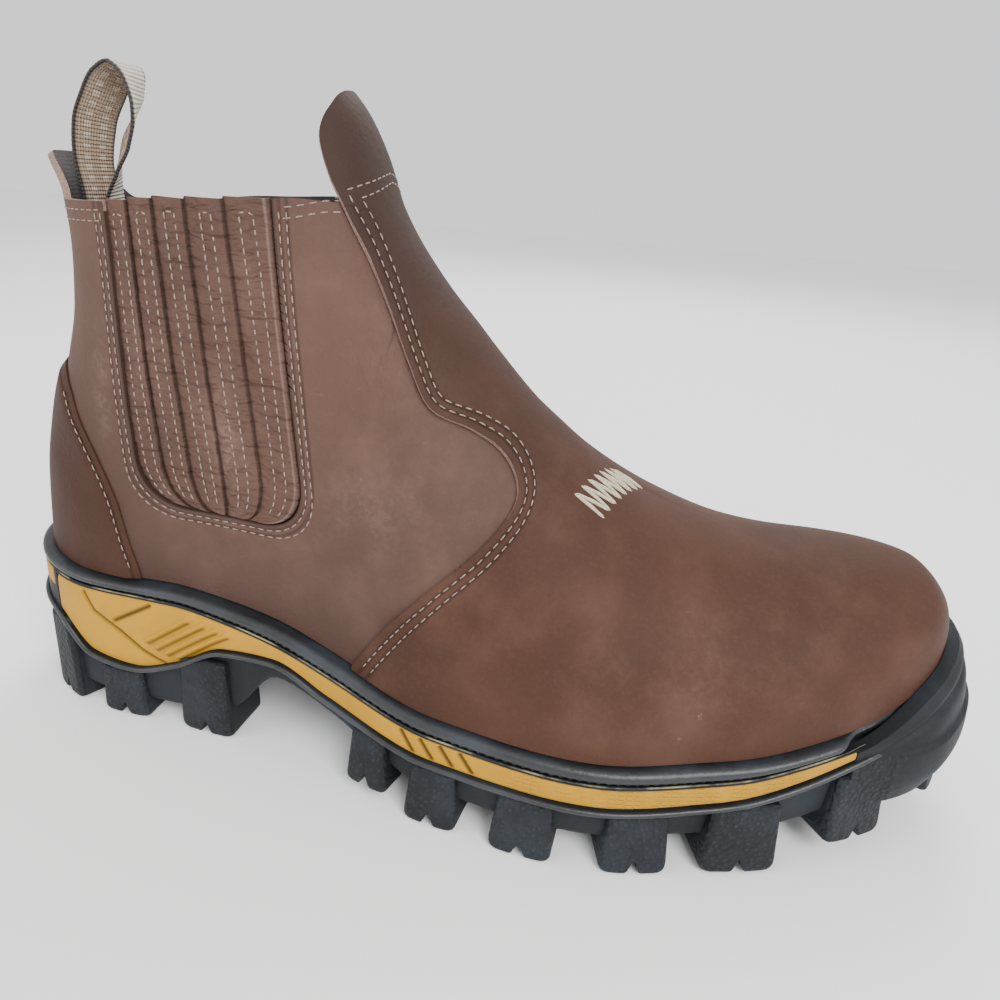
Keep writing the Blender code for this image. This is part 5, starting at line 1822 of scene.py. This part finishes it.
class BOOT_OT_stitches(bpy.types.Operator):
    """Sews the seams: panels, collar, vamp, tab and counter."""
    bl_idname = "boot.stitches"
    bl_label = "Seams"

    def execute(self, context):
        thread = tuple(settings()[0].thread)
        finish = thread_finish("seam_thread", thread, shade(thread, 0.42))
        quarter, vamp, counter, pleats = [], [], [], []
        over = FIT + OVERLAY
        for side in (-1.0, 1.0):
            quarter += self.panel_rows(side) + self.collar_rows(side)
            for away, top in zip(VAMP_ROWS, VAMP_ROW_TOPS):
                line = flowing(VAMP_EDGE)
                line = dense(beside(line, away * row_spread(line[:, 1])[:, None]))
                low = (line[:, 1] > floor_height(line[:, 0]) + ROW_END) & (line[:, 1] < top)
                vamp.append(side_path(line[low], side, over))
            line = dense(beside(flowing(COUNTER_EDGE), -COUNTER_ROWS[0]))
            low = (line[:, 1] > floor_height(line[:, 0]) + ROW_END) & (line[:, 0] > COUNTER_ROW_BACK)
            counter.append(side_path(line[low], side, over * 0.8))
            pleats += [self.pleat_loop(side, share) for share in PLEAT_ROWS]
        vamp += [front_path(ring, reach, rise, over) for ring, reach, rise in TAB_ROWS]
        stitch_row("quarter_stitches", quarter, finish, "leather")
        stitch_row("vamp_stitches", vamp, finish, "leather")
        stitch_row("counter_stitches", counter, finish, "leather")
        stitch_row("panel_stitches", pleats, finish, "panel_leather", None, *PLEAT_STITCH)
        return {"FINISHED"}

    def panel_rows(self, side):
        """Rows round a side panel's opening, up to the first row along the collar."""
        rows = []
        for away in QUARTER_ROWS:
            line = dense(panel_line(-away, 0.995))
            low = line[:, 1] < collar_z(line[:, 0]) - COLLAR_ROWS[0]
            rows.append(side_path(line[low], side, 0.0))
        return rows

    def collar_rows(self, side):
        """Rows along the collar, before and behind the side panel; in front they rise to the tab."""
        back, front = (edge[0] for edge in panel_edges(np.array([0.96 * COLLAR_HEIGHT]), -QUARTER_ROWS[0]))
        rows = []
        for down in COLLAR_ROWS:
            for start, end in ((front, COLLAR_ROW_SPAN[1]), (COLLAR_ROW_SPAN[0], back)):
                x = np.linspace(start, end, 20)
                z = collar_z(x) - down + 0.0028 * smooth((x - 0.098) / 0.014)
                rows.append(side_path(np.stack([x, z], 1), side, 0.0))
        return rows

    def pleat_loop(self, side, share):
        """Stitched loop on a pleat: up one line, across the top and down the other."""
        foot = (PANEL_FOOT + PLEAT_ROW_FOOT) * COLLAR_HEIGHT
        back, front = (edge[0] for edge in panel_edges(np.array([COLLAR_HEIGHT]), FIT))
        up = np.linspace(foot, collar_z(back + (front - back) * share) - PLEAT_ROW_GAP, 90)
        left, right = share - PLEAT_ROW_HALF, share + PLEAT_ROW_HALF
        place = np.concatenate([np.full(90, left), np.linspace(left, right, 12), np.full(90, right)])
        z = np.concatenate([up, np.full(12, up[-1]), up[::-1]])
        back, front = panel_edges(z, FIT)
        points, normals = surface_point(back + (front - back) * place, z, side)
        return points + normals * (pleat_depth(place) - PLEAT_STEP)[:, None], normals


def top_path(x, y, lift):
    """Points of the upper's top face above plan places on the outer side, found by halving."""
    low, high = floor_height(x) + 0.02, roof_height(x)
    for _ in range(30):
        middle = (low + high) / 2.0
        centre, half = side_shape(x, middle)
        outside = centre - half < y
        low, high = np.where(outside, middle, low), np.where(outside, high, middle)
    return surface_point(x, (low + high) / 2.0, -1.0, lift)


class BOOT_OT_motif(bpy.types.Operator):
    """Embroiders a plain zig-zag of slanted bars across the vamp."""
    bl_idname = "boot.motif"
    bl_label = "Vamp bars"

    def execute(self, context):
        start, end = np.array(MOTIF_FROM), np.array(MOTIF_TO)
        pitch = (end - start) / MOTIF_BARS
        paths = []
        for k in range(MOTIF_BARS):
            half = np.array([MOTIF_HALF, 0.0]) + pitch * (0.46 if k % 2 else -0.46)
            line = start + pitch * k + half * np.linspace(-1.0, 1.0, 28)[:, None]
            paths.append(top_path(line[:, 0], line[:, 1], FIT + OVERLAY))
        finish = thread_finish("motif_thread", MOTIF_TONE, shade(MOTIF_TONE, 0.6))
        stitch_row("vamp_bars", paths, finish, "leather", *MOTIF_STITCH)
        return {"FINISHED"}


class BOOT_OT_trim(bpy.types.Operator):
    """Adds the sole's trim: rope stitches in the welt groove, cream line and rim bead."""
    bl_idname = "boot.trim"
    bl_label = "Sole trim"

    def execute(self, context):
        tone = settings()[0]
        rubber = rubber_finish("trim_rubber", tuple(tone.rubber), tuple(tone.rubber_dust), 0.9, 0.0, 0.28)
        path = sole_loop(1400, lambda s: 0.0016 + bumper_step(s) * 0.9, lambda s: level(BAND_TOP, s) + 0.0009)
        path = np.concatenate([path, path[:1]])
        out = unit(np.cross(np.gradient(path, axis=0), [0.0, 0.0, 1.0]))
        outwards = -out if out[350, 1] > 0 else out
        stitch_row("welt_rope", [(path, outwards)], rubber, "welt_rubber", 0.0027, 0.0026, 0.0013)
        self.bead("rim_bead", -0.0001, lambda s: level(BAND_LOW, s) - 0.0010, 0.0009, rubber, 0.93)
        cream = Finish("cream_line")
        broken = cream.noise(70.0, 4.0).step(0.42, 0.60)
        cream.set("Base Color", cream.mix(broken, tuple(tone.rubber), (0.26, 0.235, 0.14)))
        cream.set("Roughness", 0.6)
        self.bead("cream_line", 0.0009, lambda s: level(BAND_TOP, s) - 0.0003, 0.00034, cream.material, 0.875)
        return {"FINISHED"}

    def bead(self, name, inset, height, radius, finish, until):
        """Round bead along both sides and the heel, thin and sunk from a share of the length on."""
        count = 900
        path = sole_loop(count, inset, height)
        share = sole_turn(count)[0]
        along = unit(np.roll(path, -1, axis=0) - np.roll(path, 1, axis=0))
        out = unit(np.cross(along, [0.0, 0.0, 1.0]))
        up = np.cross(out, along)
        thin = radius * (0.15 + 0.85 * smooth((until - share) / 0.02))
        sink = radius * 1.6 * smooth((share - until) / 0.02)
        quarter = count // 4
        inward = -out if out[quarter, 1] * path[quarter, 1] > 0 else out
        path = path + inward * sink[:, None]
        angle = np.linspace(0.0, 2.0 * math.pi, 10, endpoint=False)[:, None, None]
        grid = path[None] + (out[None] * np.cos(angle) + up[None] * np.sin(angle)) * thin[None, :, None]
        index = np.arange(grid.shape[0] * grid.shape[1]).reshape(grid.shape[:2])
        right, above = np.roll(index, -1, axis=1), np.roll(index, -1, axis=0)
        quads = np.stack([index, right, np.roll(right, -1, axis=0), above], -1)
        made = cleaned(mesh_object(name, grid, quads), 60.0)
        add_materials(made, finish)
        ride(made)


class BOOT_OT_stage(bpy.types.Operator):
    """Adds the pale floor, the soft lights and the camera."""
    bl_idname = "boot.stage"
    bl_label = "Stage"

    def execute(self, context):
        bpy.ops.mesh.primitive_plane_add(size=6.0)
        floor = context.active_object
        floor.name = "studio_floor"
        look = Finish("floor_paint")
        look.set("Base Color", (0.94, 0.94, 0.94, 1.0))
        look.set("Roughness", 0.9)
        add_materials(floor, look.material)
        world = bpy.data.worlds.new("studio")
        context.scene.world = world
        world.use_nodes = True
        sky = world.node_tree.nodes["Background"]
        sky.inputs["Color"].default_value = (1.0, 1.0, 1.0, 1.0)
        sky.inputs["Strength"].default_value = 1.15
        # Name, place, size in metres and power in watts
        lights = (
            ("key", (0.65, -1.00, 1.05), 0.7, 26.0),
            ("side", (-1.0, -0.6, 0.6), 0.7, 5.0),
            ("rim", (0.1, 1.1, 1.2), 0.8, 14.0),
        )
        aimed_at = Vector((0.0, 0.0, 0.08))
        for name, place, size, power in lights:
            light = bpy.data.lights.new(name, "AREA")
            light.size = size
            light.energy = power
            lamp = bpy.data.objects.new(name, light)
            context.scene.collection.objects.link(lamp)
            lamp.location = place
            lamp.rotation_euler = (aimed_at - Vector(place)).to_track_quat("-Z", "Y").to_euler()
        self.camera(context)
        return {"FINISHED"}

    def camera(self, context):
        """Camera at the photograph's angle, from azimuth, elevation, roll and distance."""
        turn, lift, roll = (math.radians(a) for a in (CAMERA_TURN, CAMERA_LIFT, CAMERA_ROLL))
        target = Vector(CAMERA_TARGET) + Vector(PLACE)
        back = Vector((math.sin(turn) * math.cos(lift), -math.cos(turn) * math.cos(lift), math.sin(lift)))
        right = (-back).cross(Vector((0.0, 0.0, 1.0))).normalized()
        up = right.cross(-back)
        x_axis = right * math.cos(roll) + up * math.sin(roll)
        y_axis = -right * math.sin(roll) + up * math.cos(roll)
        data = bpy.data.cameras.new("photo_camera")
        data.sensor_width = SENSOR
        data.lens = CAMERA_FOCAL / PICTURE * SENSOR
        data.shift_x = (PICTURE / 2.0 - CAMERA_CENTRE[0]) / PICTURE
        data.shift_y = (CAMERA_CENTRE[1] - PICTURE / 2.0) / PICTURE
        data.clip_start = 0.01
        camera = bpy.data.objects.new("photo_camera", data)
        context.scene.collection.objects.link(camera)
        matrix = Matrix((x_axis, y_axis, back)).transposed().to_4x4()
        matrix.translation = target + back * CAMERA_DISTANCE
        camera.matrix_world = matrix
        context.scene.camera = camera


# Sidebar and registration

class BOOT_PT_panel(bpy.types.Panel):
    """Sidebar panel with the boot's colours, sizes and build steps."""
    bl_label = "Boot"
    bl_space_type = "VIEW_3D"
    bl_region_type = "UI"
    bl_category = "Boot"

    def draw(self, context):
        for group in (context.scene.boot_colours, context.scene.boot_sizes):
            for key in group.bl_rna.properties.keys():
                if key not in ("rna_type", "name"):
                    self.layout.prop(group, key)
        for step in STEPS:
            self.layout.operator(step.bl_idname)


STEPS = (BOOT_OT_stage, BOOT_OT_upper, BOOT_OT_vamp, BOOT_OT_counter, BOOT_OT_panels, BOOT_OT_sole,
         BOOT_OT_welt, BOOT_OT_bands, BOOT_OT_insole, BOOT_OT_loop, BOOT_OT_trim, BOOT_OT_stitches,
         BOOT_OT_motif)
CLASSES = (BootColours, BootSizes) + STEPS + (BOOT_PT_panel,)


def register():
    for item in CLASSES:
        bpy.utils.register_class(item)
    bpy.types.Scene.boot_colours = bpy.props.PointerProperty(type=BootColours)
    bpy.types.Scene.boot_sizes = bpy.props.PointerProperty(type=BootSizes)


def unregister():
    del bpy.types.Scene.boot_sizes
    del bpy.types.Scene.boot_colours
    for item in reversed(CLASSES):
        bpy.utils.unregister_class(item)


def main():
    """Registers the add-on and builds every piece."""
    register()
    for step in STEPS:
        group, name = step.bl_idname.split(".")
        getattr(getattr(bpy.ops, group), name)()


if __name__ == "__main__":
    main()
